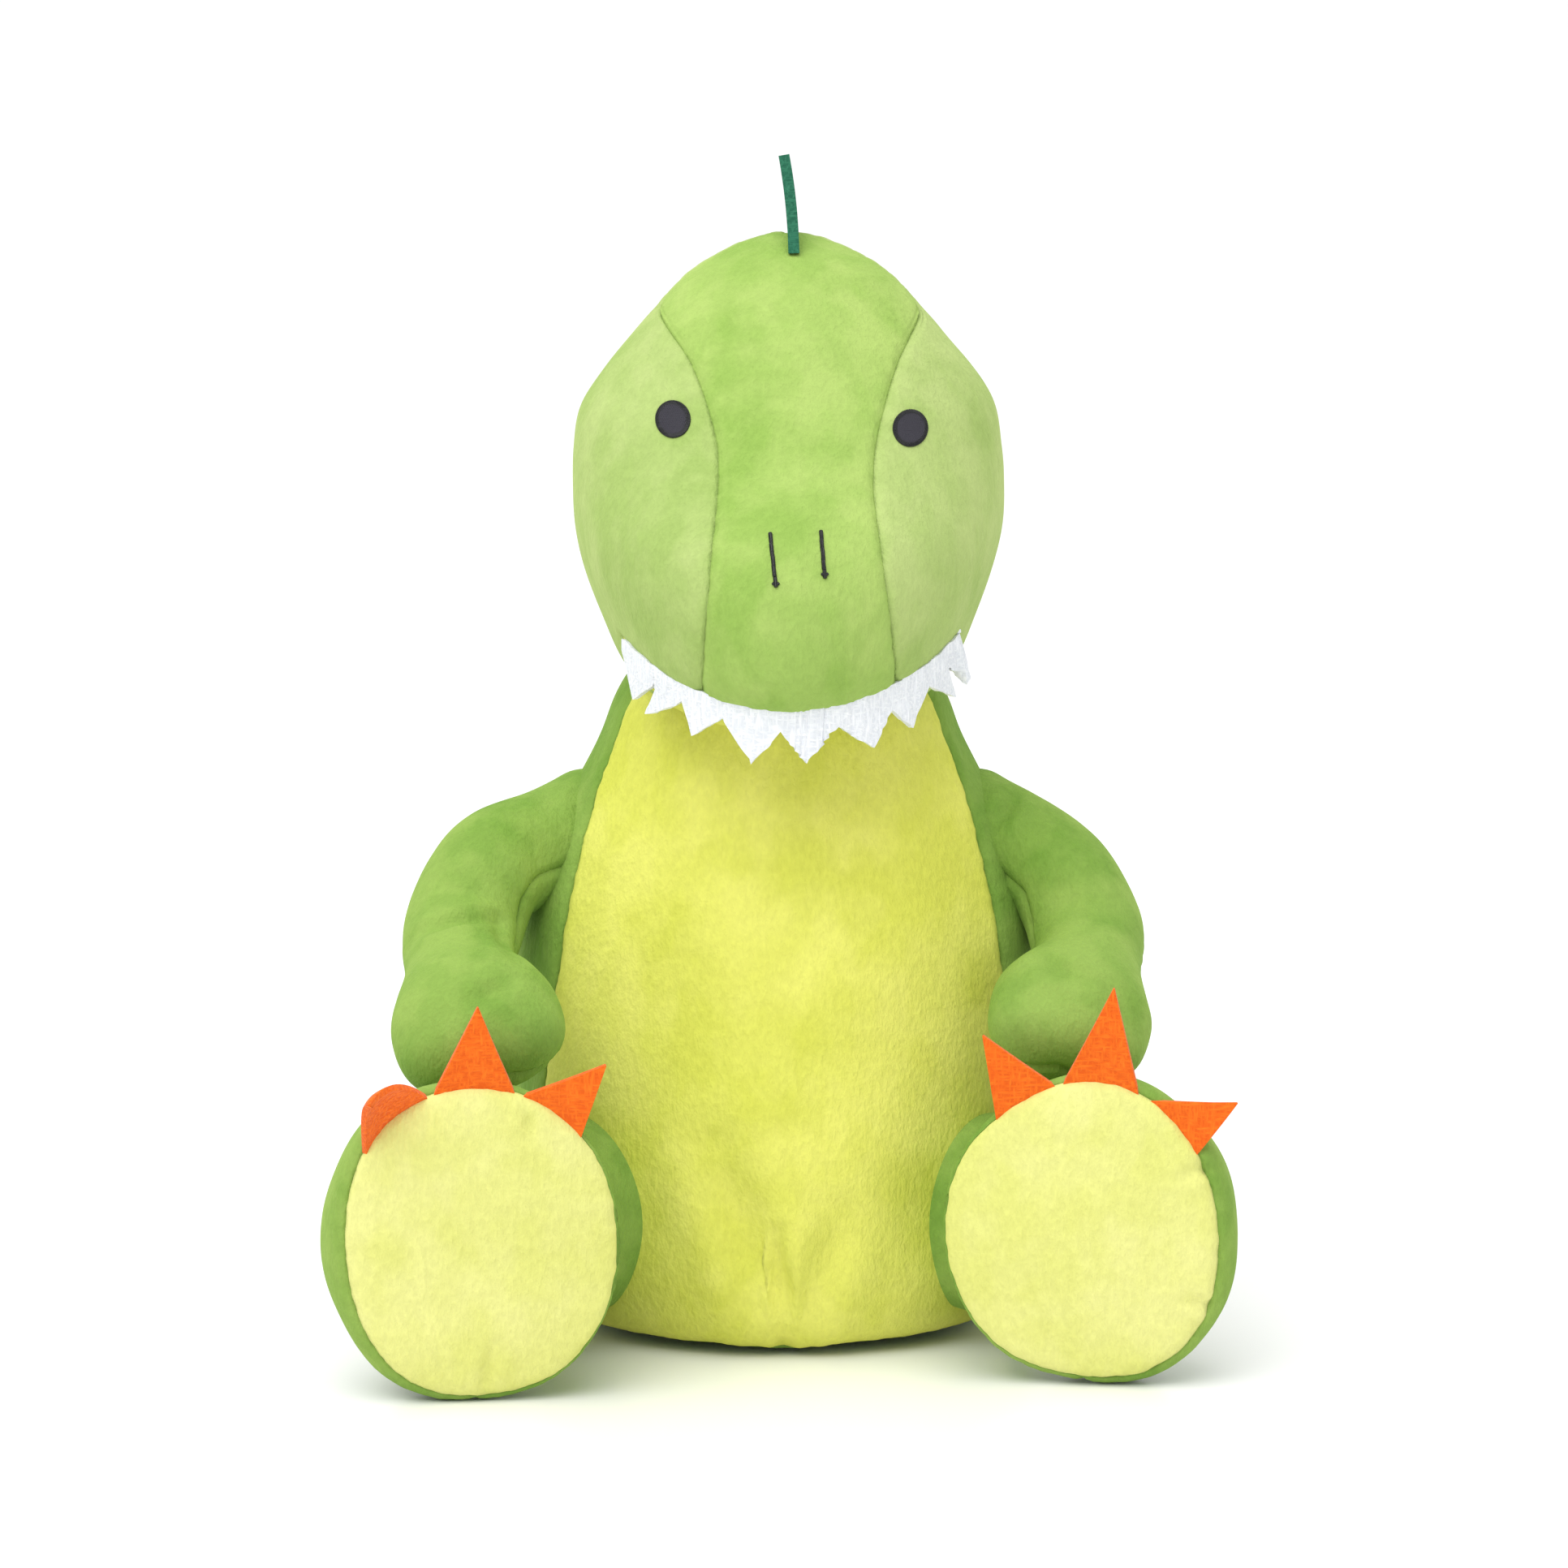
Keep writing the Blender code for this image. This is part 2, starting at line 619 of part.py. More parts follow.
def chin_outline(margin):
    """Side view of the region under the lip, grown or shrunk by a margin."""
    corner_y = BODY_Y - MOUTH_CORNER[0] + CHIN_TUCK + margin
    corner_z = NECK_HEIGHT + MOUTH_CORNER[1] + CHIN_TUCK * LIP_SLOPE + margin
    front_y = corner_y - CHIN_RUN
    front_z = corner_z - CHIN_RUN * LIP_SLOPE
    return [Vector((-CUT_SIDE, corner_y, corner_z)), Vector((-CUT_SIDE, front_y, front_z)),
            Vector((-CUT_SIDE, front_y, NECK_HEIGHT)), Vector((-CUT_SIDE, corner_y, NECK_HEIGHT))]


def half_outline(sign):
    """One side of the head, short of the centre seam by half a gap."""
    inner = sign * SEAM_GAP / 2
    outer = sign * CUT_SIDE
    y = BODY_Y - CUT_FRONT
    low = NECK_HEIGHT - NECK_RADIUS
    high = HEAD_BOTTOM + 2 * HEAD_HEIGHT
    return [Vector((inner, y, low)), Vector((outer, y, low)), Vector((outer, y, high)),
            Vector((inner, y, high))]


def head_shell(name, colour):
    """Whole skin of the head, which the cutters then divide into panels."""
    mesh = closed_mesh(name, HEAD_RINGS, RING_SIDES)
    piece = link_object(name, mesh, PARTS)
    thicken(piece, PILE_CLOTH, -1.0)
    give_material(piece, colour, 0.9)
    mesh.shade_smooth()
    hang(piece, head_empty)
    return piece


def make_head():
    """Gusset, two sides, chin and filling, all open below for the round neck."""
    half_gap = SEAM_GAP / 2
    back = Vector((0, CUT_FRONT + CREST_START, 0))
    through = Vector((0, CUT_THROUGH, 0))
    across = Vector((2 * CUT_SIDE, 0, 0))
    neck_room = ball_cutter("neck_room", NECK_CENTRE, NECK_RADIUS + NECK_CLEARANCE)
    gusset_in = prism_cutter("gusset_inside", gusset_outline(-half_gap), back)
    gusset_out = prism_cutter("gusset_outside", gusset_outline(half_gap),
                              back + Vector((0, SEAM_GAP, 0)))
    chin_in = prism_cutter("chin_inside", chin_outline(-half_gap), across)
    chin_out = prism_cutter("chin_outside", chin_outline(half_gap), across)

    gusset = head_shell("head_gusset", MID_GREEN)
    cut(gusset, gusset_in, "INTERSECT")
    cut(gusset, chin_out)
    cut(gusset, neck_room)
    for side, sign in SIDES.items():
        panel = head_shell(f"head_side_{side}", LIGHT_GREEN)
        cut(panel, prism_cutter(f"head_half_{side}", half_outline(sign), through), "INTERSECT")
        cut(panel, gusset_out)
        cut(panel, chin_out)
        cut(panel, neck_room)
    chin = head_shell("chin_panel", BELLY_YELLOW)
    cut(chin, chin_in, "INTERSECT")
    cut(chin, neck_room)

    stuffing = filling("head_stuffing", HEAD_RINGS, RING_SIDES, empty=head_empty)
    cut(stuffing, neck_room)
    pocket_top = PLUG_TOP + SEAT_GAP
    edge = math.asin(PLUG_POCKET / pocket_top)
    profile = arc(pocket_top, 0.0, edge, 6) + [(PLUG_POCKET, PLUG_BOTTOM), (0.0, PLUG_BOTTOM)]
    cut(stuffing, hide_cutter(turned("neck_pocket", profile, CUTTERS)))


def head_surface(across, height):
    """Point and outward direction on the front of the head."""
    share = (height - HEAD_BOTTOM) / HEAD_HEIGHT
    step = 0.002

    def front(x, z):
        ring = head_ring((z - HEAD_BOTTOM) / HEAD_HEIGHT)
        return ring_point(ring, math.asin(x / ring[1].x))

    ring = head_ring(share)
    point = ring_point(ring, math.asin(across / ring[1].x))
    sideways = front(across + step, height) - front(across - step, height)
    upward = front(across, height + step) - front(across, height - step)
    return point, sideways.cross(upward).normalized()


def sewn_patch(name, across, height, half_width, half_height):
    """Raised oval of satin stitch that stands on the head's skin."""
    point, outward = head_surface(across, height)
    side = Vector((0, 0, 1)).cross(outward).normalized()
    up = outward.cross(side)
    # The oval is flat and the head is round, so its middle stands clear of the cloth.
    start = point + outward * (SEAT_GAP + half_width ** 2 / HEAD_HALF_WIDTH / 3)
    outline = []
    for step in range(STITCH_SIDES):
        angle = math.tau * step / STITCH_SIDES
        outline.append(start + side * half_width * math.cos(angle)
                       + up * half_height * math.sin(angle))
    patch = link_object(name, outline_mesh(name, outline), PARTS)
    thicken(patch, THREAD, 1.0)
    give_material(patch, THREAD_BLACK, 0.6)
    hang(patch, head_empty)


def make_face():
    """Embroidered eyes and nostrils, and the felt teeth under the lip."""
    for side, sign in SIDES.items():
        radius = EYE_DIAMETER / 2
        sewn_patch(f"eye_{side}", sign * EYE_SPACING, NECK_HEIGHT + EYE_HEIGHT, radius, radius)
        sewn_patch(f"nostril_{side}", sign * NOSTRIL_SPACING, NECK_HEIGHT + NOSTRIL_HEIGHT,
                   NOSTRIL_WIDTH / 2, NOSTRIL_LENGTH / 2)
    make_teeth()


def lip_point(angle):
    """Point of the lip seam at an angle round the head from the front."""
    height = NECK_HEIGHT + MOUTH_CORNER[1]
    for _ in range(12):
        point = ring_point(head_ring((height - HEAD_BOTTOM) / HEAD_HEIGHT), angle)
        forward = BODY_Y - MOUTH_CORNER[0] - point.y
        height = NECK_HEIGHT + MOUTH_CORNER[1] - forward * LIP_SLOPE
    return point


def make_teeth():
    """Strip of white felt cut into points, hanging from the lip seam."""
    corner = math.acos(min(1.0, MOUTH_CORNER[0] / (SNOUT_REACH * LIP_REACH)))
    steps = TOOTH_COUNT * 2
    mesh = bpy.data.meshes.new("tooth_strip")
    shape = bmesh.new()
    tops = []
    bottoms = []
    for step in range(steps + 1):
        angle = -corner + 2 * corner * step / steps
        point = lip_point(angle)
        outward = Vector((math.sin(angle), -math.cos(angle), 0))
        top = point + outward * (FELT / 2 + SEAT_GAP) - Vector((0, 0, SEAT_GAP))
        middle_share = 1 - abs(2 * step / steps - 1)
        length = TOOTH_LENGTH * (TOOTH_SIDE_SHARE + (1 - TOOTH_SIDE_SHARE) * middle_share)
        drop = length if step % 2 else TOOTH_BAND
        tops.append(shape.verts.new(top))
        bottoms.append(shape.verts.new(top - Vector((0, 0, drop))))
    for step in range(steps):
        shape.faces.new((bottoms[step], bottoms[step + 1], tops[step + 1], tops[step]))
    shape.to_mesh(mesh)
    shape.free()
    strip = link_object("tooth_strip", mesh, PARTS)
    thicken(strip, FELT, 0.0)
    give_material(strip, TOOTH_WHITE, 0.95)
    hang(strip, head_empty)


# ---- Limbs ----------------------------------------------------------------------------
def spline(stations, per_span):
    """Stations on a smooth curve through the given ones; each is a centre and two sizes."""
    padded = [stations[0]] + stations + [stations[-1]]
    result = []
    for index in range(1, len(padded) - 2):
        before, start, stop, after = padded[index - 1:index + 3]
        for step in range(per_span):
            t = step / per_span
            weights = (-t + 2 * t ** 2 - t ** 3, 2 - 5 * t ** 2 + 3 * t ** 3,
                       t + 4 * t ** 2 - 3 * t ** 3, t ** 3 - t ** 2)
            mixed = []
            for values in zip(before, start, stop, after):
                total = values[0] * weights[0]
                for value, weight in zip(values[1:], weights[1:]):
                    total = total + value * weight
                mixed.append(total * 0.5)
            result.append(tuple(mixed))
    result.append(stations[-1])
    return result


def limb_ring(centre, direction, top, half_height, half_width):
    """Ring square to a limb, with its first arm as near to the top direction as it can be."""
    upright = (top - direction * top.dot(direction)).normalized()
    side = direction.cross(upright)
    return (centre, side * half_width, upright * half_height, upright * half_height)


def limb_rings(stations, top, root_radius, end_round, end_angles):
    """Rings of a limb: a ball at its root, its length, and a rounded end."""
    path = spline(stations, 2)
    rings = []
    first = (path[1][0] - path[0][0]).normalized()
    for angle in ROOT_ANGLES:
        turn = math.radians(angle)
        centre = path[0][0] - first * root_radius * math.cos(turn)
        radius = root_radius * math.sin(turn)
        rings.append(limb_ring(centre, first, top, radius, radius))
    for index, (centre, height, width) in enumerate(path):
        before = path[max(index - 1, 0)][0]
        after = path[min(index + 1, len(path) - 1)][0]
        rings.append(limb_ring(centre, (after - before).normalized(), top, height, width))
    last = (stations[-1][0] - stations[-2][0]).normalized()
    centre, height, width = path[-1]
    for angle in end_angles:
        turn = math.radians(angle)
        shift = last * end_round * math.sin(turn)
        shrink = end_round * (1 - math.cos(turn))
        rings.append(limb_ring(centre + shift, last, top, height - shrink, width - shrink))
    return rings


def limb_skins(names, rings, colour, empty):
    """Two panels of cloth that meet along a limb, clear of the ball inside its socket."""
    for name, start in zip(names, (-QUARTER, QUARTER)):
        skin(name, rings[BARE_ROOT:], start, start + 2 * QUARTER, LIMB_SIDES, colour, empty)


def sole_direction(side):
    """Way that a sole faces."""
    return Vector((-SIDES[side] * math.sin(SOLE_TURN), -math.cos(SOLE_TURN), 0.0))


def leg_stations(side):
    """Centres and sizes along a leg, from the hip to where the foot's edge rounds over."""
    hip = HIP_CENTRE[side]
    sign = SIDES[side]
    facing = sole_direction(side)
    sole = Vector((sign * FOOT_SPREAD, BODY_Y - LEG_REACH[side], FOOT_HALF_HEIGHT))
    ankle = sole - facing * SOLE_ROUND
    heel = ankle - facing * HEEL_RUN
    knee = hip.lerp(heel, KNEE[0]) + Vector((sign * KNEE[1], 0.0, 0.0))
    shin = hip.lerp(heel, SHIN[0]) + Vector((sign * SHIN[1], 0.0, 0.0))
    tall = FOOT_HALF_HEIGHT
    wide = FOOT_HALF_WIDTH
    root = HIP_RADIUS
    shin_height = min(root + (tall - root) * SHIN_SHARES[0], shin.z)
    shin_width = root + (wide - root) * SHIN_SHARES[1]
    return [(hip, root, root), (knee, root, root + KNEE_SWELL),
            (shin, shin_height, shin_width),
            (heel, tall - HEEL_SLIM[0], wide - HEEL_SLIM[1]), (ankle, tall, wide)]


LEG_RINGS = {}
for side_name in SIDES:
    outward = Vector((SIDES[side_name], 0, 0))
    # The side direction comes first, so height and width change places.
    swapped = [(centre, wide, tall) for centre, tall, wide in leg_stations(side_name)]
    LEG_RINGS[side_name] = limb_rings(swapped, outward, HIP_RADIUS, SOLE_ROUND, FOOT_ANGLES)


def make_leg(side):
    """Outer and inner panels, sole, filling and three felt claws of one leg."""
    rings = LEG_RINGS[side]
    empty = leg_empty[side]
    limb_skins((f"leg_{side}_outer_panel", f"leg_{side}_inner_panel"), rings, LEG_GREEN, empty)
    filling(f"leg_{side}_stuffing", rings[:-1], LIMB_SIDES, empty=empty)

    facing = sole_direction(side)
    edge = rings[-1]
    inset = PILE_CLOTH * SOLE_INSET + SEAM_GAP
    front = edge[0] + facing * (SOLE_ROUND * (1 - math.sin(math.radians(FOOT_ANGLES[-1]))))
    trimmed = (front, *(arm * (1 - inset / arm.length) for arm in edge[1:]))
    outline = [ring_point(trimmed, math.tau * step / RING_SIDES) for step in range(RING_SIDES)]
    sole = link_object(f"leg_{side}_sole", outline_mesh("sole", outline), PARTS)
    thicken(sole, PILE_CLOTH, -1.0)
    give_material(sole, SOLE_YELLOW, 0.9)
    hang(sole, empty)
    make_claws(side, facing)


def make_claws(side, facing):
    """Three felt points round the top of a sole."""
    ankle = LEG_RINGS[side][-len(FOOT_ANGLES)]
    across = Vector((0, 0, 1)).cross(facing).normalized()
    trimmer = form_cutter(f"foot_room_{side}", LEG_RINGS[side], LIMB_SIDES, SEAT_GAP)
    for number, place in enumerate((-1, 0, 1), start=1):
        clock = math.radians(CLAW_CLOCK) * place
        lean = math.radians(CLAW_LEAN) * place
        tip_forward = math.radians(CLAW_TIP) * (1 - abs(place))
        radial = across * math.sin(clock) + Vector((0, 0, math.cos(clock)))
        tangent = across * math.cos(clock) - Vector((0, 0, math.sin(clock)))
        point = across * math.sin(lean) + Vector((0, 0, math.cos(lean)))
        # The side arm of a leg's ring is its height and the first arm its width.
        reach = 1 / math.hypot(math.sin(clock) / ankle[2].length,
                               math.cos(clock) / ankle[1].length)
        middle = ankle[0] + radial * reach
        sunk = middle - radial * CLAW_SINK
        leaning = point * math.cos(tip_forward) + facing * math.sin(tip_forward)
        outline = [sunk - tangent * CLAW_BASE / 2, sunk + tangent * CLAW_BASE / 2,
                   middle + leaning * CLAW_LENGTH]
        claw = felt(f"leg_{side}_claw_{number}", outline, FELT, CLAW_ORANGE, leg_empty[side])
        cut(claw, trimmer)


def leg_top(side, forward):
    """Height of a leg's top at a distance forward of the torso's axis."""
    target = BODY_Y - forward
    for near, far in zip(LEG_RINGS[side], LEG_RINGS[side][1:]):
        if far[0].y <= target <= near[0].y:
            share = (near[0].y - target) / (near[0].y - far[0].y)
            ring = blend_rings(near, far, share)
            return ring[0].z + ring[1].length
    return 2 * FOOT_HALF_HEIGHT


def mirrored(shift, sign):
    """Shift given for the left side, turned over for the right one."""
    return Vector((sign * shift[0], shift[1], shift[2]))


def arm_stations(side):
    """Centres and sizes along an arm, from the shoulder to the middle of the hand."""
    sign = SIDES[side]
    shoulder = SHOULDER_CENTRE[side]
    forward = LEG_REACH[side] - HAND_SETBACK
    palm = max(leg_top(side, forward), leg_top(side, forward + HAND_TIP)) + HAND_CLEARANCE
    hand = Vector((sign * FOOT_SPREAD, BODY_Y - forward, palm + HAND_HALF_HEIGHT))
    elbow_z = hand.z + (shoulder.z - hand.z) * ELBOW_RISE
    elbow = Vector((sign * ELBOW_OUT, BODY_Y - forward * ELBOW_FORWARD, elbow_z))
    root = shoulder + mirrored(ROOT_SHIFT, sign)
    upper = shoulder.lerp(elbow, UPPER_SHARE) + mirrored(UPPER_BOW, sign)
    wrist = elbow.lerp(hand, WRIST_SHARE) + mirrored(WRIST_BOW, sign)
    tip = hand + mirrored((-HAND_TURN_IN, -HAND_TIP, 0.0), sign)
    upper_radius = ARM_RADIUS - UPPER_SLIM
    return [(shoulder, SHOULDER_RADIUS, SHOULDER_RADIUS),
            (root, ARM_ROOT_RADIUS, ARM_ROOT_RADIUS), (upper, upper_radius, upper_radius),
            (elbow, ARM_RADIUS, ARM_RADIUS), (wrist, WRIST_RADIUS, WRIST_RADIUS),
            (hand, HAND_HALF_HEIGHT, HAND_HALF_WIDTH),
            (tip, HAND_HALF_HEIGHT - HAND_TAPER[0], HAND_HALF_WIDTH - HAND_TAPER[1])]


def make_arm(side):
    """Upper and lower panels and filling of one arm, which ends in a plain mitten."""
    plane_normal = mirrored(ARM_PLANE, SIDES[side])
    rings = limb_rings(arm_stations(side), plane_normal, SHOULDER_RADIUS, HAND_ROUND, TIP_ANGLES)
    empty = arm_empty[side]
    limb_skins((f"arm_{side}_upper_panel", f"arm_{side}_lower_panel"), rings, MID_GREEN, empty)
    filling(f"arm_{side}_stuffing", rings, LIMB_SIDES, empty=empty)


# ---- Tail and crest -------------------------------------------------------------------
def tail_stations():
    """Centres and sizes along the tail, from its root to its tip."""
    root = TAIL_CENTRE
    tip = root + Vector((0, TAIL_LENGTH, TAIL_TIP_RADIUS + FLOOR_GAP + TAIL_LIFT - root.z))
    stations = [(root, TAIL_ROOT_RADIUS, TAIL_ROOT_RADIUS)]
    for share, size in TAIL_SHAPE:
        radius = TAIL_ROOT_RADIUS * TAIL_WAIST * size
        centre = root.lerp(tip, share)
        centre.z = radius + FLOOR_GAP + TAIL_LIFT * share ** 3
        stations.append((centre, radius, radius))
    stations.append((tip, TAIL_TIP_RADIUS, TAIL_TIP_RADIUS))
    return stations


TAIL_RINGS = limb_rings(tail_stations(), Vector((1, 0, 0)), TAIL_ROOT_RADIUS,
                        TAIL_TIP_RADIUS * TAIL_ROUND, TIP_ANGLES)


def make_tail():
    """Two panels and filling; the tail keeps the toy from tipping back."""
    limb_skins(("tail_panel_left", "tail_panel_right"), TAIL_RINGS, LEG_GREEN, tail_empty)
    filling("tail_stuffing", TAIL_RINGS, LIMB_SIDES, empty=tail_empty)


def make_spike(name, foot, angle, size, trimmer, empty):
    """Felt triangle in the middle plane, leaning back by an angle from upright."""
    turn = math.radians(angle)
    upward = Vector((0, math.sin(turn), math.cos(turn)))
    along = Vector((0, math.cos(turn), -math.sin(turn)))
    half = along * SPIKE_BASE * size / 2
    sunk = foot - upward * SPIKE_SINK
    outline = [sunk - half, sunk + half, foot + upward * SPIKE_HEIGHT * size]
    spike = felt(name, outline, SPIKE_THICKNESS, CREST_GREEN, empty)
    cut(spike, trimmer)


def make_crest():
    """Row of felt spikes down the middle seam of the head, the back and the tail."""
    head_room = form_cutter("head_room", HEAD_RINGS, RING_SIDES, SEAT_GAP)
    torso_room = form_cutter("torso_room", TORSO_CLOSED, RING_SIDES, SEAT_GAP)
    tail_room = form_cutter("tail_room", TAIL_RINGS, LIMB_SIDES, SEAT_GAP)
    top = Vector((0, BODY_Y + TOP_SPIKE[0], HEAD_BOTTOM + HEAD_HEIGHT - TOP_SPIKE[1]))
    make_spike("spike_head_top", top, 0.0, 1.0, head_room, head_empty)
    for name, share, angle in HEAD_SPIKES:
        foot = ring_point(head_ring(share), math.pi)
        make_spike(name, foot, angle, 1.0, head_room, head_empty)
    for name, height, angle in BACK_SPIKES:
        foot = ring_point(torso_ring(height), math.pi)
        make_spike(name, foot, angle, BACK_SPIKE_SIZE, torso_room, None)
    for name, share, size in TAIL_SPIKES:
        along = TAIL_RINGS[round(share * (len(TAIL_RINGS) - 1))]
        foot = along[0] + Vector((0, 0, along[1].length))
        make_spike(name, foot, TAIL_SPIKE_LEAN, size, tail_room, tail_empty)


make_torso()
make_neck()
make_head()
make_face()
for side_name in SIDES:
    make_leg(side_name)
    make_arm(side_name)
make_tail()
make_crest()
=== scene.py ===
# %% [markdown]
# # A stuffed sitting dinosaur
# This notebook dresses the plain working model of a plush toy. The working model already
# says where each piece is and how it moves. Here every skin is shaped again as sewn,
# stuffed cloth, and the felt and thread are added piece by piece.

# %% Load the working model
import json
import math

import bmesh
import bpy
import numpy as np
from mathutils import Matrix, Vector, kdtree, noise
from mathutils.bvhtree import BVHTree

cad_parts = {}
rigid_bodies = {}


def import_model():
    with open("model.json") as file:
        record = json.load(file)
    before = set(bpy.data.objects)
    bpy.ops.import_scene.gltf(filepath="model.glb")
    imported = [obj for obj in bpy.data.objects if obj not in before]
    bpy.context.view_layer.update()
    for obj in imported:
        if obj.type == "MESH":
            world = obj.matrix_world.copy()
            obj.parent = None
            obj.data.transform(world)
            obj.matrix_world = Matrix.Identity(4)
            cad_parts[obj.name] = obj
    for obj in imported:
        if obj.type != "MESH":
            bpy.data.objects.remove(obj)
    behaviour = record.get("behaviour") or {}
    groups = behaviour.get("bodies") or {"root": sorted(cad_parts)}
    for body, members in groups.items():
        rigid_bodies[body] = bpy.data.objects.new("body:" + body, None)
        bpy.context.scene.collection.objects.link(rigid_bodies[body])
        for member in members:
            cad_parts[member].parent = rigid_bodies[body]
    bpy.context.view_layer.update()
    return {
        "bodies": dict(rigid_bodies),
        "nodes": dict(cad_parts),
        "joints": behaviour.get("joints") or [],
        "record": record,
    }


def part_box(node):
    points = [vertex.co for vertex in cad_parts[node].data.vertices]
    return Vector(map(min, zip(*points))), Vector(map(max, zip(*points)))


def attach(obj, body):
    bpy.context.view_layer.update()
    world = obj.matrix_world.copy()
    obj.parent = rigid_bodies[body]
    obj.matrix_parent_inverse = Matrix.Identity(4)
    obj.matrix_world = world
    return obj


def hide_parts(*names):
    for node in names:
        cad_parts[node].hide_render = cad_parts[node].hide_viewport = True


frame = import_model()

# %% [markdown]
# ## Camera, floor and light
# The toy sits on a plain white table under large soft lights. A long lens keeps its
# proportions true, and the camera looks at its middle from the front, a little from above.
# The table is one wide plane, so its far edge never shows, and a broad overhead light keeps
# it evenly white and shades the toy below.

# %% Camera
AXIS_Y = -0.0240             # the torso's upright axis, a little in front of the origin
LOOK_AT = Vector((0.0008, AXIS_Y, 0.1385))
CAMERA_DISTANCE = 1.50
CAMERA_ELEVATION = math.radians(8.5)
LENS = 133.6                 # millimetres, for a sensor 36 mm wide

camera_data = bpy.data.cameras.new("camera")
camera_data.sensor_width = 36.0
camera_data.lens = LENS
camera = bpy.data.objects.new("camera", camera_data)
bpy.context.scene.collection.objects.link(camera)
away = Vector((0, -math.cos(CAMERA_ELEVATION), math.sin(CAMERA_ELEVATION)))
camera.location = LOOK_AT + away * CAMERA_DISTANCE
camera.rotation_euler = (-away).to_track_quat("-Z", "Y").to_euler()
bpy.context.scene.camera = camera
print("camera at", [round(value, 3) for value in camera.location])

# %% Floor and lights
def new_material(name):
    """Empty node material with a Principled shader; returns material, nodes and links."""
    material = bpy.data.materials.new(name)
    material.use_nodes = True
    return material, material.node_tree.nodes, material.node_tree.links


def linear(red, green, blue):
    """Turn a display colour in 0-255 steps into a linear RGBA value."""
    steps = [((value / 255 + 0.055) / 1.055) ** 2.4 for value in (red, green, blue)]
    return (*steps, 1.0)


TABLE_SIZE = 60.0
TABLE_DROP = 0.0002          # the table lies just under the toy

floor_material, nodes, links = new_material("white_table")
shader = nodes["Principled BSDF"]
shader.inputs["Base Color"].default_value = (0.96, 0.96, 0.96, 1)
shader.inputs["Roughness"].default_value = 0.22
grain = nodes.new("ShaderNodeTexNoise")
grain.inputs["Scale"].default_value = 60.0
bump = nodes.new("ShaderNodeBump")
bump.inputs["Strength"].default_value = 0.02
links.new(grain.outputs["Fac"], bump.inputs["Height"])
links.new(bump.outputs["Normal"], shader.inputs["Normal"])

bpy.ops.mesh.primitive_plane_add(size=TABLE_SIZE, location=(0, 0, -TABLE_DROP))
floor = bpy.context.active_object
floor.name = "floor"
floor.data.materials.append(floor_material)

world = bpy.data.worlds.new("studio")
bpy.context.scene.world = world
world.use_nodes = True
world.node_tree.nodes["Background"].inputs["Color"].default_value = (1, 1, 1, 1)
world.node_tree.nodes["Background"].inputs["Strength"].default_value = 0.76
bpy.context.scene.view_settings.view_transform = "Standard"


def softbox(name, place, size, power):
    """Large square light aimed at the toy."""
    data = bpy.data.lights.new(name, "AREA")
    data.size = size
    data.energy = power
    light = bpy.data.objects.new(name, data)
    light.location = place
    aim = LOOK_AT - Vector(place)
    light.rotation_euler = aim.to_track_quat("-Z", "Y").to_euler()
    bpy.context.scene.collection.objects.link(light)


# Place, side in metres and power in watts.
softbox("key", (-0.6, -1.0, 1.3), 0.9, 3.2)
softbox("fill", (1.1, -0.9, 0.8), 1.0, 0.8)
softbox("rim", (0.2, 1.3, 1.2), 1.0, 1.5)

SKY_SPREAD = math.radians(70)    # a wide angle gives soft-edged shade
overhead_data = bpy.data.lights.new("overhead", "SUN")
overhead_data.energy = 2.2
overhead_data.angle = SKY_SPREAD
overhead = bpy.data.objects.new("overhead", overhead_data)
overhead.rotation_euler = Vector((0.25, 0.35, -1.0)).to_track_quat("-Z", "Y").to_euler()
bpy.context.scene.collection.objects.link(overhead)
print("lights:", sorted(light.name for light in bpy.data.lights))

# %% [markdown]
# ## Cloth and felt finishes
# Short-pile plush looks soft because its fibres catch light at grazing angles and because
# the pile lies in different directions from place to place. So each plush material has a
# sheen, broad light and dark patches where the pile has been brushed, and a fine bump of
# fibres. Felt is more matt, with short crossed fibres. Everything reads Object coordinates, so
# the pile stays on the piece when the piece moves.

# %% Bump
def bump_node(nodes, links, height, strength, distance):
    """Bump of a strength and a depth in metres, driven by a height socket."""
    bump = nodes.new("ShaderNodeBump")
    bump.inputs["Strength"].default_value = strength
    bump.inputs["Distance"].default_value = distance
    links.new(height, bump.inputs["Height"])
    return bump


# %% Plush
PILE_PITCH = 0.0006          # one tuft of pile
PATCHES = 30.0               # noise scales: brushed patches, crushed spots, strokes of pile
CRUSHED = 85.0
STROKES = 420.0
SHADE, GLINT = 0.80, 1.13    # of the middle tone, in and on the pile
PLUSH_SHEEN = 0.35


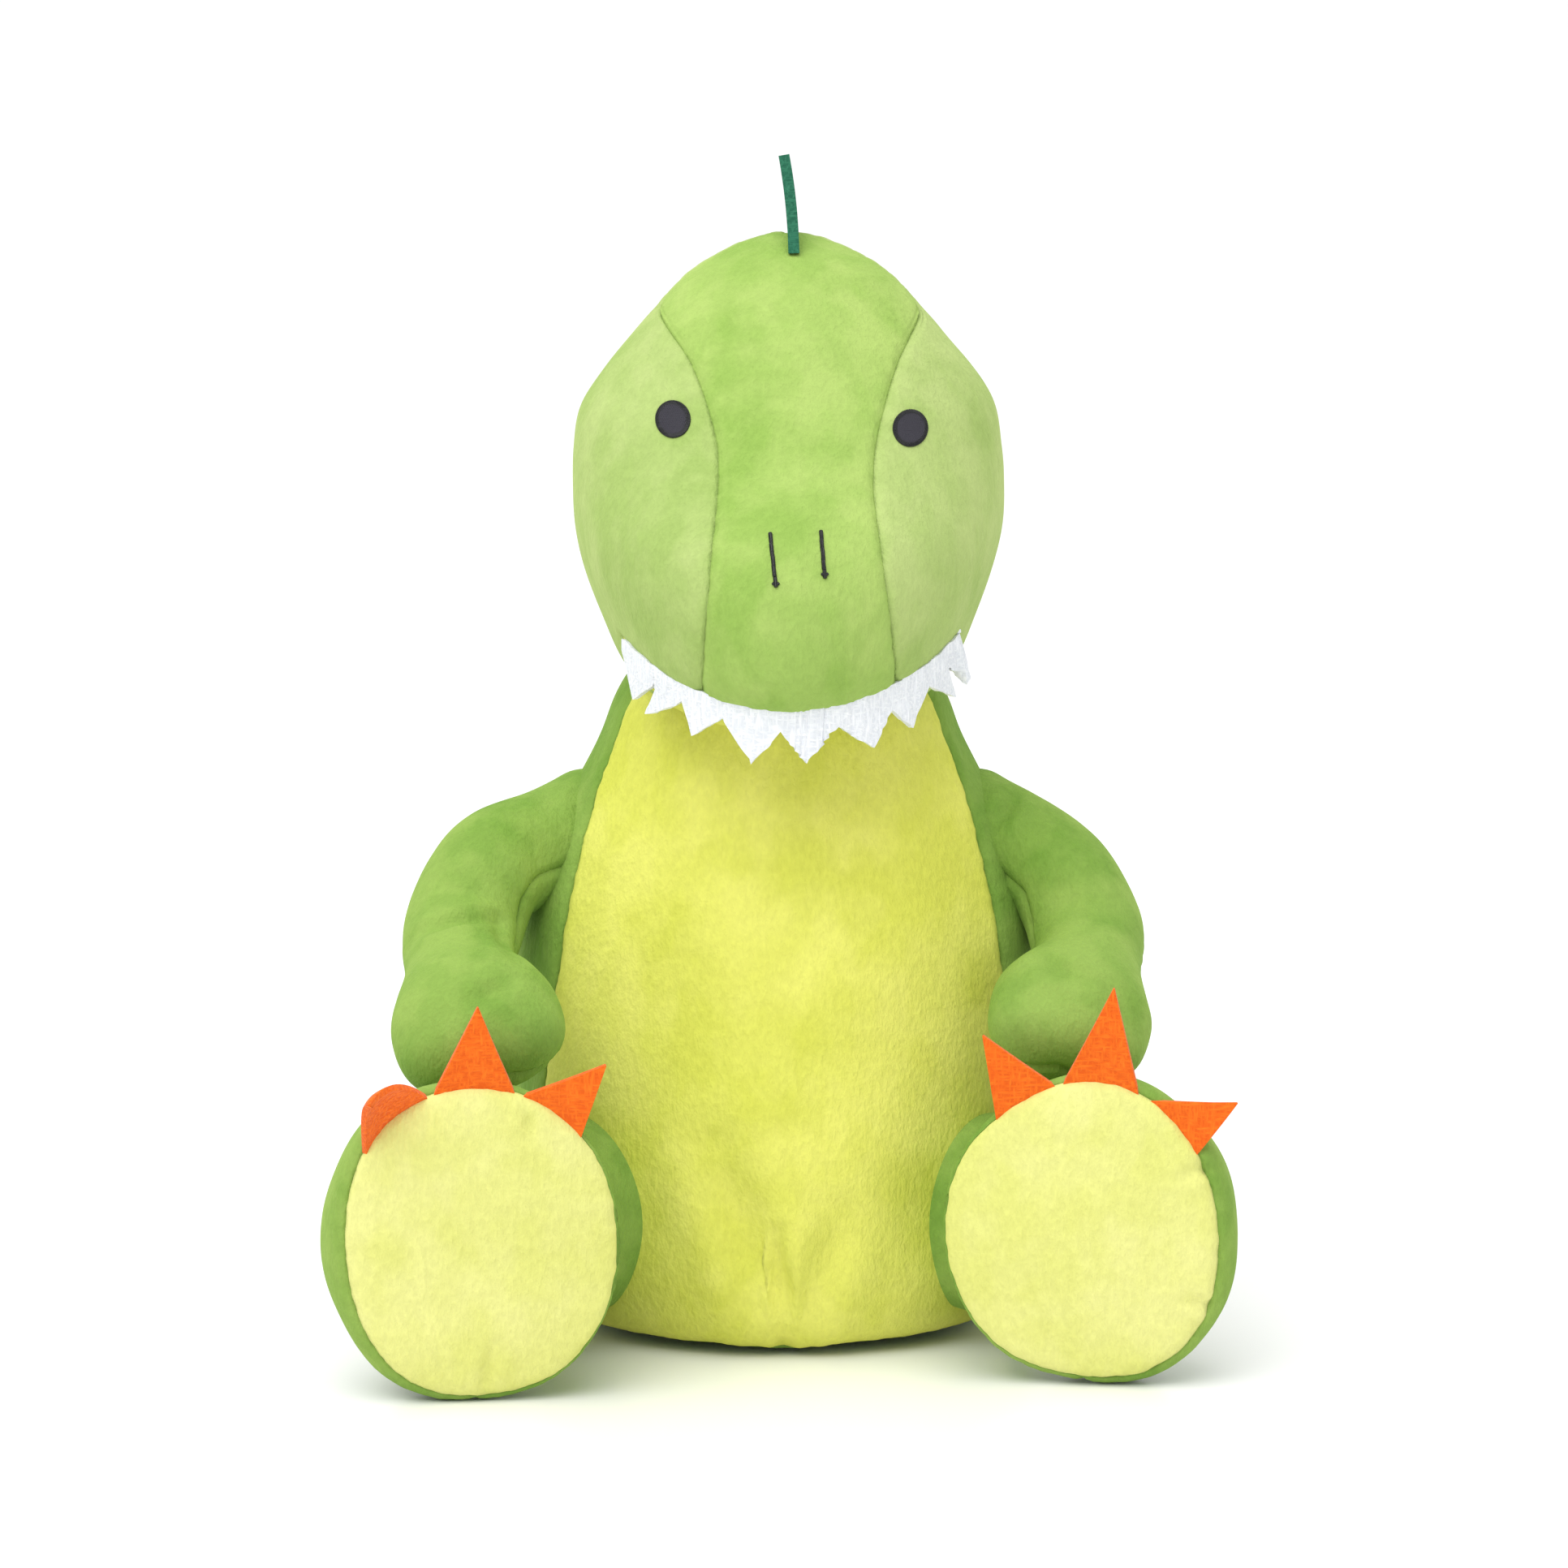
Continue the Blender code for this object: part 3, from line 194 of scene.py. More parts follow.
def plush(name, light, dark):
    """Short-pile plush between a light and a dark tone."""
    material, nodes, links = new_material(name)
    shader = nodes["Principled BSDF"]
    shader.inputs["Roughness"].default_value = 0.92
    shader.inputs["Specular IOR Level"].default_value = 0.15
    shader.inputs["Sheen Weight"].default_value = PLUSH_SHEEN
    shader.inputs["Sheen Roughness"].default_value = 0.45
    shader.inputs["Sheen Tint"].default_value = light
    place = nodes.new("ShaderNodeTexCoord")

    def speckle(scale, detail, stretch=(1, 1, 1)):
        """Noise over the piece, squeezed along its axes."""
        mapping = nodes.new("ShaderNodeMapping")
        mapping.inputs["Scale"].default_value = stretch
        links.new(place.outputs["Object"], mapping.inputs["Vector"])
        texture = nodes.new("ShaderNodeTexNoise")
        texture.inputs["Scale"].default_value = scale
        texture.inputs["Detail"].default_value = detail
        texture.inputs["Roughness"].default_value = 0.6
        links.new(mapping.outputs["Vector"], texture.inputs["Vector"])
        return texture.outputs["Fac"]

    def mixed(first, second, share):
        """Mix two colours by a share, which may be a number or a socket."""
        mix = nodes.new("ShaderNodeMix")
        mix.data_type = "RGBA"
        for socket, value in ((mix.inputs[0], share), (mix.inputs[6], first),
                              (mix.inputs[7], second)):
            if isinstance(value, (float, tuple)):
                socket.default_value = value
            else:
                links.new(value, socket)
        return mix.outputs[2]

    def ramp(source, low, high):
        """Stretch a noise so that it runs from 0 at low to 1 at high."""
        spread = nodes.new("ShaderNodeMapRange")
        spread.interpolation_type = "SMOOTHSTEP"
        spread.inputs["From Min"].default_value = low
        spread.inputs["From Max"].default_value = high
        links.new(source, spread.inputs["Value"])
        return spread.outputs["Result"]

    brushed = ramp(speckle(PATCHES, 2.0), 0.38, 0.62)
    crushed = ramp(speckle(CRUSHED, 2.0, (1.0, 1.0, 0.7)), 0.40, 0.60)
    strokes = ramp(speckle(STROKES, 3.0, (1.0, 1.0, 0.8)), 0.30, 0.72)
    tufts = ramp(speckle(0.5 / PILE_PITCH, 2.0, (1.0, 1.0, 0.5)), 0.25, 0.75)
    middle = tuple((a + b) / 2 for a, b in zip(light, dark))
    tone = mixed(dark, light, brushed)
    tone = mixed(tone, mixed(dark, light, crushed), 0.35)
    tone = mixed(tone, middle, 0.10)
    shadow = tuple(value * SHADE for value in middle[:3]) + (1.0,)
    glint = tuple(min(value * GLINT, 1.0) for value in middle[:3]) + (1.0,)
    tone = mixed(tone, mixed(shadow, glint, strokes), 0.20)
    tone = mixed(tone, mixed(shadow, glint, tufts), 0.22)
    links.new(tone, shader.inputs["Base Color"])

    coarse = bump_node(nodes, links, strokes, 0.16, 0.0008)
    fine = bump_node(nodes, links, tufts, 0.40, 0.0004)
    links.new(coarse.outputs["Normal"], fine.inputs["Normal"])
    links.new(fine.outputs["Normal"], shader.inputs["Normal"])
    return material


PLUSH = {
    "gusset": plush("mid_green_plush", linear(174, 197, 111), linear(131, 168, 72)),
    "cheek": plush("light_green_plush", linear(181, 198, 126), linear(145, 173, 89)),
    "green": plush("leaf_green_plush", linear(150, 177, 88), linear(101, 142, 51)),
    "yellow": plush("yellow_plush", linear(226, 225, 115), linear(199, 204, 76)),
    "sole": plush("pale_yellow_plush", linear(226, 225, 147), linear(210, 213, 114)),
}

# %% Felt, thread and filling
FELT_SHEEN = 0.15
FELT_FIBRES = 1500.0         # noise scales
THREAD_TWIST = 2600.0


def felt(name, colour, dark):
    """Pressed felt: matt, with short crossed fibres."""
    material, nodes, links = new_material(name)
    shader = nodes["Principled BSDF"]
    shader.inputs["Roughness"].default_value = 0.95
    shader.inputs["Specular IOR Level"].default_value = 0.1
    shader.inputs["Sheen Weight"].default_value = FELT_SHEEN
    place = nodes.new("ShaderNodeTexCoord")
    heights = []
    for stretch in ((1.0, 1.0, 0.15), (0.15, 1.0, 1.0)):
        mapping = nodes.new("ShaderNodeMapping")
        mapping.inputs["Scale"].default_value = stretch
        links.new(place.outputs["Object"], mapping.inputs["Vector"])
        fibres = nodes.new("ShaderNodeTexNoise")
        fibres.inputs["Scale"].default_value = FELT_FIBRES
        fibres.inputs["Detail"].default_value = 2.0
        links.new(mapping.outputs["Vector"], fibres.inputs["Vector"])
        heights.append(fibres.outputs["Fac"])
    both = nodes.new("ShaderNodeMath")
    both.operation = "MAXIMUM"
    links.new(heights[0], both.inputs[0])
    links.new(heights[1], both.inputs[1])
    spread = nodes.new("ShaderNodeMapRange")
    spread.inputs["From Min"].default_value = 0.42
    spread.inputs["From Max"].default_value = 0.72
    links.new(both.outputs[0], spread.inputs["Value"])
    mix = nodes.new("ShaderNodeMix")
    mix.data_type = "RGBA"
    mix.inputs[6].default_value = dark
    mix.inputs[7].default_value = colour
    links.new(spread.outputs["Result"], mix.inputs[0])
    links.new(mix.outputs[2], shader.inputs["Base Color"])
    bump = bump_node(nodes, links, spread.outputs["Result"], 0.5, 0.0004)
    links.new(bump.outputs["Normal"], shader.inputs["Normal"])
    return material


FELT_ORANGE = felt("orange_felt", linear(246, 118, 32), linear(222, 92, 22))
FELT_WHITE = felt("white_felt", linear(243, 245, 248), linear(218, 222, 228))
FELT_GREEN = felt("dark_green_felt", linear(52, 118, 90), linear(30, 88, 66))
FIBRE = felt("stuffing_fibre", linear(245, 245, 242), linear(225, 225, 222))


def thread(name, colour, roughness):
    """Satin thread with a fine twist."""
    material, nodes, links = new_material(name)
    shader = nodes["Principled BSDF"]
    shader.inputs["Base Color"].default_value = colour
    shader.inputs["Roughness"].default_value = roughness
    place = nodes.new("ShaderNodeTexCoord")
    twist = nodes.new("ShaderNodeTexNoise")
    twist.inputs["Scale"].default_value = THREAD_TWIST
    links.new(place.outputs["Object"], twist.inputs["Vector"])
    bump = bump_node(nodes, links, twist.outputs["Fac"], 0.6, 0.0002)
    links.new(bump.outputs["Normal"], shader.inputs["Normal"])
    return material


THREAD_FILL = thread("charcoal_thread", linear(52, 50, 60), 0.6)
THREAD_RIM = thread("black_thread", linear(22, 24, 24), 0.38)
print(len(PLUSH), "plush finishes, and felt, fibre and thread")

# %% [markdown]
# ## How a stuffed skin is made here
# A plush toy starts as flat cloth panels, sewn edge to edge and packed with fibre. Three
# things give it its look: full, smooth shapes between the seams, a small valley along each
# seam where the stitches hold the cloth down, and soft folds where the toy bends. Each
# stuffed body is therefore lofted as one dense closed form, blown up a little by a cloth
# simulation that holds the seams still, creased, and only then cut along its seams into
# panels. Lofting was chosen over a remeshed sculpt because its rows and columns can be
# laid exactly along the seams.

# %% Smooth curves through a table
def smooth(table, places):
    """Cubic curve through the rows of a table, read at places along its first column."""
    table = np.array(table, float)
    x, y = table[:, 0], table[:, 1:]
    slope = np.empty_like(y)
    slope[1:-1] = (y[2:] - y[:-2]) / (x[2:] - x[:-2])[:, None]
    slope[0] = (y[1] - y[0]) / (x[1] - x[0])
    slope[-1] = (y[-1] - y[-2]) / (x[-1] - x[-2])
    places = np.clip(places, x[0], x[-1])
    low = np.clip(np.searchsorted(x, places) - 1, 0, len(x) - 2)
    span = (x[low + 1] - x[low])[:, None]
    t = (places - x[low])[:, None] / span
    return ((2 * t ** 3 - 3 * t ** 2 + 1) * y[low]
            + (t ** 3 - 2 * t ** 2 + t) * span * slope[low]
            + (3 * t ** 2 - 2 * t ** 3) * y[low + 1]
            + (t ** 3 - t ** 2) * span * slope[low + 1])


# %% Rows of a lofted form
PITCH = 0.0024               # size of a face before the last subdivision


def dense(stations):
    """Evenly spaced rows through stations; each is a centre, side, front and back arm."""
    rows = np.array([np.concatenate(station) for station in stations], float)
    centre = rows[:, :3]
    ends = [centre + rows[:, 3:6], centre - rows[:, 3:6],
            centre + rows[:, 6:9], centre + rows[:, 9:12]]
    steps = np.linalg.norm(np.diff(ends, axis=1), axis=2).max(axis=0)
    along = np.concatenate([[0.0], np.cumsum(np.maximum(steps, 1e-5))])
    count = max(round(along[-1] / PITCH), 2)
    table = np.column_stack([along, rows])
    return smooth(table, np.linspace(0.0, along[-1], count + 1))


def surface(rows, angles, swell=1.0):
    """Points of every row at its own angles, measured round from the front arm."""
    sine = np.sin(angles)[..., None]
    cosine = np.cos(angles)[..., None]
    arm = np.where(cosine > 0, rows[:, None, 6:9], -rows[:, None, 9:12])
    reach = (rows[:, None, 3:6] * sine + arm * cosine)
    return rows[:, None, 0:3] + reach * swell


# %% A closed form from its points
def closed_form(name, points, panels):
    """Closed mesh over a grid of points, whose faces carry the number of their panel."""
    rows, columns = points.shape[:2]
    flat = points.reshape(-1, 3)
    ends = [points[0].mean(axis=0), points[-1].mean(axis=0)]
    vertices = np.vstack([flat, ends])
    faces = []
    numbers = []
    for row in range(rows - 1):
        for column in range(columns):
            after = (column + 1) % columns
            low = row * columns
            high = low + columns
            faces.append((low + column, low + after, high + after, high + column))
            numbers.append(panels(row, column))
    top = (rows - 1) * columns
    for column in range(columns):
        after = (column + 1) % columns
        faces.append((after, column, len(flat)))
        numbers.append(panels(0, column))
        faces.append((top + column, top + after, len(flat) + 1))
        numbers.append(panels(rows - 2, column))
    mesh = bpy.data.meshes.new(name)
    mesh.from_pydata([tuple(vertex) for vertex in vertices], [], faces)
    for number in range(max(numbers) + 1):
        mesh.materials.append(None)
    mesh.polygons.foreach_set("material_index", numbers)
    shape = bmesh.new()
    shape.from_mesh(mesh)
    bmesh.ops.recalc_face_normals(shape, faces=shape.faces)
    shape.to_mesh(mesh)
    shape.free()
    form = bpy.data.objects.new(name, mesh)
    bpy.context.scene.collection.objects.link(form)
    return form


# %% Reading and moving points
def get_points(form):
    """Vertex places of a form as an array."""
    points = np.empty(len(form.data.vertices) * 3)
    form.data.vertices.foreach_get("co", points)
    return points.reshape(-1, 3)


def get_normals(form):
    """Vertex normals of a form as an array."""
    normals = np.empty(len(form.data.vertices) * 3)
    form.data.vertices.foreach_get("normal", normals)
    return normals.reshape(-1, 3)


def set_points(form, points):
    """Move the vertices of a form."""
    form.data.vertices.foreach_set("co", points.ravel())
    form.data.update()


def seam_vertices(form):
    """Numbers of the vertices that lie between two panels."""
    owner = {}
    found = set()
    for face in form.data.polygons:
        for vertex in face.vertices:
            if owner.setdefault(vertex, face.material_index) != face.material_index:
                found.add(vertex)
    return sorted(found)


def use_only(piece):
    """Select one object and make it active."""
    bpy.ops.object.select_all(action="DESELECT")
    piece.select_set(True)
    bpy.context.view_layer.objects.active = piece


# %% Blowing up a form
PRESSURE = 4.0
STIFFNESS = 12.0
SLACK = 0.0010               # how much smaller the form starts
SWELL_CAP = 0.0032           # furthest that the cloth may move
SIM_FRAMES = 20


def blow_up(form, cap=SWELL_CAP):
    """Swell a form between its seams with a cloth simulation, and keep the result."""
    start = get_points(form)
    set_points(form, start - get_normals(form) * SLACK)
    pinned = form.vertex_groups.new(name="sewn")
    pinned.add(seam_vertices(form), 1.0, "REPLACE")
    cloth = form.modifiers.new("stuffing", "CLOTH")
    cloth.settings.quality = 4
    cloth.settings.mass = 0.2
    cloth.settings.tension_stiffness = STIFFNESS
    cloth.settings.compression_stiffness = STIFFNESS
    cloth.settings.bending_stiffness = 0.4
    cloth.settings.use_pressure = True
    cloth.settings.uniform_pressure_force = PRESSURE
    cloth.settings.vertex_group_mass = "sewn"
    cloth.settings.effector_weights.gravity = 0.0
    cloth.point_cache.frame_start = 1
    cloth.point_cache.frame_end = SIM_FRAMES
    for step in range(1, SIM_FRAMES + 1):
        bpy.context.scene.frame_set(step)
    use_only(form)
    bpy.ops.object.modifier_apply(modifier=cloth.name)
    bpy.context.scene.frame_set(1)
    moved = get_points(form) - start
    length = np.linalg.norm(moved, axis=1, keepdims=True)
    moved *= np.minimum(1.0, cap / np.maximum(length, 1e-9))
    set_points(form, start + moved)
    print(f"{form.name}: cloth moved {length.mean() * 1000:.1f} mm on average")


# %% Search tree
IN_FRONT = -0.4              # clear of the toy, where searches from the front start
BACKWARD = Vector((0, 1, 0))


def surface_tree(pieces):
    """Search tree over the faces of several pieces."""
    vertices = []
    faces = []
    for piece in pieces:
        offset = len(vertices)
        vertices += [vertex.co.copy() for vertex in piece.data.vertices]
        faces += [[offset + number for number in face.vertices] for face in piece.data.polygons]
    return BVHTree.FromPolygons(vertices, faces)


# %% Seams and folds
SEAM_DEPTH = 0.0010
SEAM_WIDTH = 0.0013
PUCKER = 0.00028             # height of the small ridges across a seam
PUCKER_REACH = 0.0050
LUMP = 0.0008                # unevenness of the stuffing
LUMP_SIZE = 0.022
BULGE = 0.45                 # height of a fold's two bulges, as a share of its depth
FOLD_STEPS = 12              # points along each span of a fold's path
FOLD_END = 0.04              # share of a fold's length at each end that keeps one depth


def refine(form):
    """Split every face in four, smoothly."""
    use_only(form)
    finer = form.modifiers.new("finer", "SUBSURF")
    finer.levels = 1
    finer.render_levels = 1
    finer.boundary_smooth = "PRESERVE_CORNERS"
    bpy.ops.object.modifier_apply(modifier=finer.name)


def stuff(form):
    """Give a form uneven stuffing and pull its cloth down along the seams."""
    points = get_points(form)
    normals = get_normals(form)
    seams = seam_vertices(form)
    tree = kdtree.KDTree(len(seams))
    for number in seams:
        tree.insert(points[number], number)
    tree.balance()
    shift = np.zeros(len(points))
    for number, point in enumerate(points):
        place = Vector(point)
        near, _, away = tree.find(place)
        settle = 1.0 - math.exp(-(away / PUCKER_REACH) ** 2)
        shift[number] += LUMP * settle * noise.noise(place / LUMP_SIZE)
        depth = SEAM_DEPTH * (1.0 + 0.35 * noise.noise(near * 220.0))
        shift[number] -= depth * math.exp(-(away / SEAM_WIDTH) ** 2)
        ridge = noise.noise(near * 330.0) + 0.6 * noise.noise(near * 760.0)
        shift[number] += PUCKER * ridge * math.exp(-(away / PUCKER_REACH) ** 2)
    set_points(form, points + normals * shift[:, None])


def fold(form, path, depth, width):
    """Press a fold into the cloth along a path and let it bulge on both sides."""
    path = [Vector(point) for point in path]
    track = []
    for index in range(len(path) - 1):
        for step in range(FOLD_STEPS):
            part = step / FOLD_STEPS
            track.append((path[index].lerp(path[index + 1], part),
                          (index + part) / (len(path) - 1)))
    track.append((path[-1], 1.0))
    tree = kdtree.KDTree(len(track))
    for number, (place, _) in enumerate(track):
        tree.insert(place, number)
    tree.balance()
    points = get_points(form)
    normals = get_normals(form)
    shift = np.zeros(len(points))
    for number, point in enumerate(points):
        _, spot, away = tree.find(Vector(point))
        if away > 4 * width:
            continue
        share = track[spot][1]
        fade = math.sin(math.pi * min(max(share, FOLD_END), 1 - FOLD_END)) ** 0.6
        valley = math.exp(-(away / width) ** 2)
        bulge = BULGE * math.exp(-((away - 1.9 * width) / width) ** 2)
        shift[number] = -depth * fade * (valley - bulge)
    set_points(form, points + normals * shift[:, None])


def press_from_front(form, folds):
    """Press folds whose paths are given as seen from the front: across and height."""
    tree = surface_tree([form])
    for path, depth, width in folds:
        places = []
        for across, height in path:
            place, _, _, _ = tree.ray_cast(Vector((across, IN_FRONT, height)), BACKWARD)
            if place is not None:
                places.append(place)
        if len(places) > 1:
            fold(form, places, depth, width)


# %% Cutting a form into panels
CLOTH = 0.0011


def split_panels(form, body, names, finishes, stands_for):
    """Make each panel of a form its own piece with real cloth thickness."""
    source = bmesh.new()
    source.from_mesh(form.data)
    pieces = []
    for number, name in enumerate(names):
        panel = source.copy()
        drop = [face for face in panel.faces if face.material_index != number]
        bmesh.ops.delete(panel, geom=drop, context="FACES")
        mesh = bpy.data.meshes.new(name)
        for face in panel.faces:
            face.material_index = 0
            face.smooth = True
        panel.to_mesh(mesh)
        panel.free()
        mesh.materials.append(PLUSH[finishes[number]])
        piece = bpy.data.objects.new(name, mesh)
        bpy.context.scene.collection.objects.link(piece)
        use_only(piece)
        wall = piece.modifiers.new("cloth", "SOLIDIFY")
        wall.thickness = CLOTH
        wall.offset = -1.0
        bpy.ops.object.modifier_apply(modifier=wall.name)
        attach(piece, body)
        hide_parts(stands_for[number])
        pieces.append(piece)
        print(name, len(mesh.polygons), "faces")
    source.free()
    return pieces


# %% [markdown]
# ## Filling
# The fibre inside is never seen, but it keeps each body solid, and it must not show through
# the folds of its skin. A coarse copy of each form, drawn in well below the folds, is enough.

# %% Filling from a form
FILLING_DEPTH = 0.0055


def fill_form(form, name, body, *stands_for):
    """Copy of a form drawn inward, as the fibre inside it."""
    piece = form.copy()
    piece.data = form.data.copy()
    piece.name = name
    piece.vertex_groups.clear()
    bpy.context.scene.collection.objects.link(piece)
    set_points(piece, get_points(piece) - get_normals(piece) * FILLING_DEPTH)
    piece.data.materials.clear()
    piece.data.materials.append(FIBRE)
    piece.data.polygons.foreach_set("material_index", [0] * len(piece.data.polygons))
    piece.data.shade_smooth()
    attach(piece, body)
    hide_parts(*stands_for)
    return piece


# %% [markdown]
# ## Torso
# The torso is a pear: wide at the hips, drawn in to a round neck that the head sits on. The
# yellow belly and the two green back panels meet in side seams a little in front of the
# widest point, and a flat seat panel closes it below. Seams and folds are pressed in after
# the form is blown up, because a simulation fine enough to fold by itself would be slow.

# %% Torso form
# Height, half width, reach to the front and reach to the back of each station.
TORSO_STATIONS = [
    (0.0012, 0.0006, 0.0006, 0.0006),
    (0.0006, 0.0180, 0.0170, 0.0150),
    (0.0004, 0.0370, 0.0340, 0.0300),
    (0.0008, 0.0530, 0.0490, 0.0430),
    (0.0050, 0.0612, 0.0555, 0.0490),
    (0.0170, 0.0668, 0.0590, 0.0527),
    (0.0350, 0.0688, 0.0596, 0.0550),
    (0.0550, 0.0702, 0.0598, 0.0550),
    (0.0800, 0.0698, 0.0573, 0.0531),
    (0.1050, 0.0680, 0.0531, 0.0501),
    (0.1250, 0.0606, 0.0493, 0.0479),
    (0.1380, 0.0546, 0.0470, 0.0465),
    (0.1529, 0.0472, 0.0450, 0.0450),
    (0.1619, 0.0434, 0.0430, 0.0430),
    (0.1700, 0.0386, 0.0386, 0.0386),
    (0.1767, 0.0330, 0.0330, 0.0330),
    (0.1850, 0.0225, 0.0225, 0.0225),
    (0.1895, 0.0110, 0.0110, 0.0110),
    (0.1908, 0.0006, 0.0006, 0.0006),
]
SEAT_STATION = 3
TORSO_COLUMNS = 180
BELLY_EDGE = 36              # columns from the middle of the belly to its side seam


def level(height, width, front, back, lean=0.0):
    """Station of the torso or the head: a level oval about the toy's upright axis."""
    return ((0.0, AXIS_Y + lean, height), (width, 0.0, 0.0), (0.0, -front, 0.0), (0.0, back, 0.0))


torso_stations = [level(*station) for station in TORSO_STATIONS]
seat_rows = dense(torso_stations[:SEAT_STATION + 1])
body_rows = dense(torso_stations[SEAT_STATION:])
torso_rows = np.vstack([seat_rows[:-1], body_rows])
# Height, and how far round from the front the side seams run there.
SIDE_SEAM = [(0.0, 72), (0.02, 70), (0.05, 64), (0.08, 59), (0.105, 56), (0.13, 61),
             (0.15, 67), (0.20, 72)]


def seamed_angles(edges, edge_column, columns, others=None):
    """Angles of the columns of each row, packed so that one column follows each seam."""
    middle = columns // 2
    angles = np.empty((len(edges), columns))
    others = edges if others is None else others
    for row, (edge, other) in enumerate(zip(edges, others)):
        marks = [0, edge_column, middle]
        angles[row, :middle + 1] = np.interp(np.arange(middle + 1), marks, [0.0, edge, math.pi])
        far = np.interp(np.arange(middle + 1), marks, [0.0, other, math.pi])
        angles[row, middle + 1:] = math.tau - far[middle - 1:0:-1]
    return angles


side_seam = np.radians(smooth(SIDE_SEAM, torso_rows[:, 2])[:, 0])
torso_angles = seamed_angles(side_seam, BELLY_EDGE, TORSO_COLUMNS)


def torso_panel(row, column):
    """0 belly, 1 back left, 2 back right, 3 seat."""
    if row < len(seat_rows) - 1:
        return 3
    if column < BELLY_EDGE or column >= TORSO_COLUMNS - BELLY_EDGE:
        return 0
    return 1 if column < TORSO_COLUMNS // 2 else 2


torso = closed_form("torso", surface(torso_rows, torso_angles), torso_panel)
blow_up(torso)
fill_form(torso, "torso_filling", "torso", "torso_stuffing", "pellet_pouch")
refine(torso)
stuff(torso)


FLOOR_GAP = 0.0004           # lowest that cloth may lie


def keep_above_floor(form):
    """Flatten whatever sank below the table."""
    points = get_points(form)
    points[:, 2] = np.maximum(points[:, 2], FLOOR_GAP)
    set_points(form, points)


# Path of each fold as seen from the front (across and height), its depth and its width: the
# dart at the bottom of the belly and the soft folds beside it.
BELLY_FOLDS = [
    ([(-0.0004, 0.034), (0.0000, 0.022), (0.0006, 0.0035)], 0.0030, 0.0020),
    ([(-0.0157, 0.0536), (-0.0096, 0.0370), (-0.0045, 0.0224), (-0.0012, 0.0077)],
     0.0034, 0.0060),
    ([(0.0159, 0.0370), (0.0098, 0.0224), (0.0040, 0.0077)], 0.0018, 0.0050),
]
press_from_front(torso, BELLY_FOLDS)
keep_above_floor(torso)
split_panels(torso, "torso", ["belly", "back_left", "back_right", "seat"],
             ["yellow", "green", "green", "green"],
             ["belly_panel", "back_panel_left", "back_panel_right", "seat_panel"])

# %% [markdown]
# ## Head
# The head is one egg with a short snout. A gusset of darker green runs from the lip up over
# the brow to the crown, narrowest between the eyes, and lighter side panels fill the
# cheeks. A chin panel closes the snout below the lip.

# %% Head form
# Height above the head's underside, half width, reach to the front and reach to the back.
HEAD_BOTTOM = 0.162
HEAD_HEIGHT = 0.119
HEAD_SHIFT = 0.0020          # the head sits a little to the toy's left
HEAD_STATIONS = [
    (-0.0038, 0.0006, 0.0006, 0.0006),
    (-0.0038, 0.0120, 0.0200, 0.0150),
    (-0.0038, 0.0241, 0.0479, 0.0357),
    (0.0008, 0.0358, 0.0659, 0.0418),
    (0.0098, 0.0435, 0.0752, 0.0449),
    (0.0205, 0.0485, 0.0785, 0.0469),
    (0.0320, 0.0527, 0.0785, 0.0490),
    (0.0430, 0.0553, 0.0740, 0.0505),
    (0.0540, 0.0560, 0.0640, 0.0510),
    (0.0640, 0.0556, 0.0540, 0.0500),
    (0.0750, 0.0536, 0.0460, 0.0479),
    (0.0850, 0.0474, 0.0390, 0.0435),
    (0.0940, 0.0400, 0.0330, 0.0380),
    (0.1020, 0.0330, 0.0260, 0.0320),
    (0.1100, 0.0250, 0.0160, 0.0240),
    (0.1160, 0.0140, 0.0050, 0.0160),
    (0.1186, 0.0060, -0.0010, 0.0115),
    (0.1194, 0.0006, -0.0049, 0.0061),
]
# Height as a share of the head's height, then how far the gusset reaches to the left and to
# the right there.
GUSSET = [(-0.1, 0.0275, 0.0222), (0.109, 0.0275, 0.0222), (0.35, 0.0238, 0.0196),
          (0.50, 0.0212, 0.0176), (0.60, 0.0224, 0.0184), (0.74, 0.0280, 0.0250),
          (0.86, 0.0360, 0.0358), (1.1, 0.042, 0.042)]
BROW = 0.095                 # height from which the head's middle moves back
BROW_BLEND = 0.020
HEAD_COLUMNS = 168
GUSSET_EDGE = 32             # columns from the middle of the gusset to its seam


def head_station(height, width, front, back):
    """Level oval whose middle moves back where the brow lies behind the axis."""
    middle = 0.0
    if height > BROW:
        ease = min((height - BROW) / BROW_BLEND, 1.0)
        middle = ease * (back - front) / 2
    station = level(HEAD_BOTTOM + height, width, front + middle, back - middle, middle)
    return ((HEAD_SHIFT, station[0][1], station[0][2]), *station[1:])


head_rows = dense([head_station(*station) for station in HEAD_STATIONS])
shares = (head_rows[:, 2] - HEAD_BOTTOM) / HEAD_HEIGHT
half_widths = np.maximum(head_rows[:, 3], 1e-4)[:, None]
edge_shares = np.minimum(smooth(GUSSET, shares) / half_widths, 0.9998)
edge_angles = np.arcsin(edge_shares)
head_angles = seamed_angles(edge_angles[:, 0], GUSSET_EDGE, HEAD_COLUMNS, edge_angles[:, 1])
middle_column = HEAD_COLUMNS // 2


def head_panel(row, column):
    """0 gusset, 1 left side, 2 right side; the chin is cut out later as 3."""
    if column < GUSSET_EDGE or column >= HEAD_COLUMNS - GUSSET_EDGE:
        return 0
    return 1 if column < middle_column else 2


head = closed_form("head", surface(head_rows, head_angles), head_panel)

# %% Lip seam
LIP_CORNER = Vector((0.0, AXIS_Y - 0.032, 0.145 + 0.0354))
LIP_SLOPE = 0.430            # how fast the lip drops towards the snout
CUT_MERGE = 0.0003           # points nearer to a cut than this are moved on to it
CHIN_MARGIN = 0.004
lip_normal = Vector((0.0, -LIP_SLOPE, 1.0)).normalized()


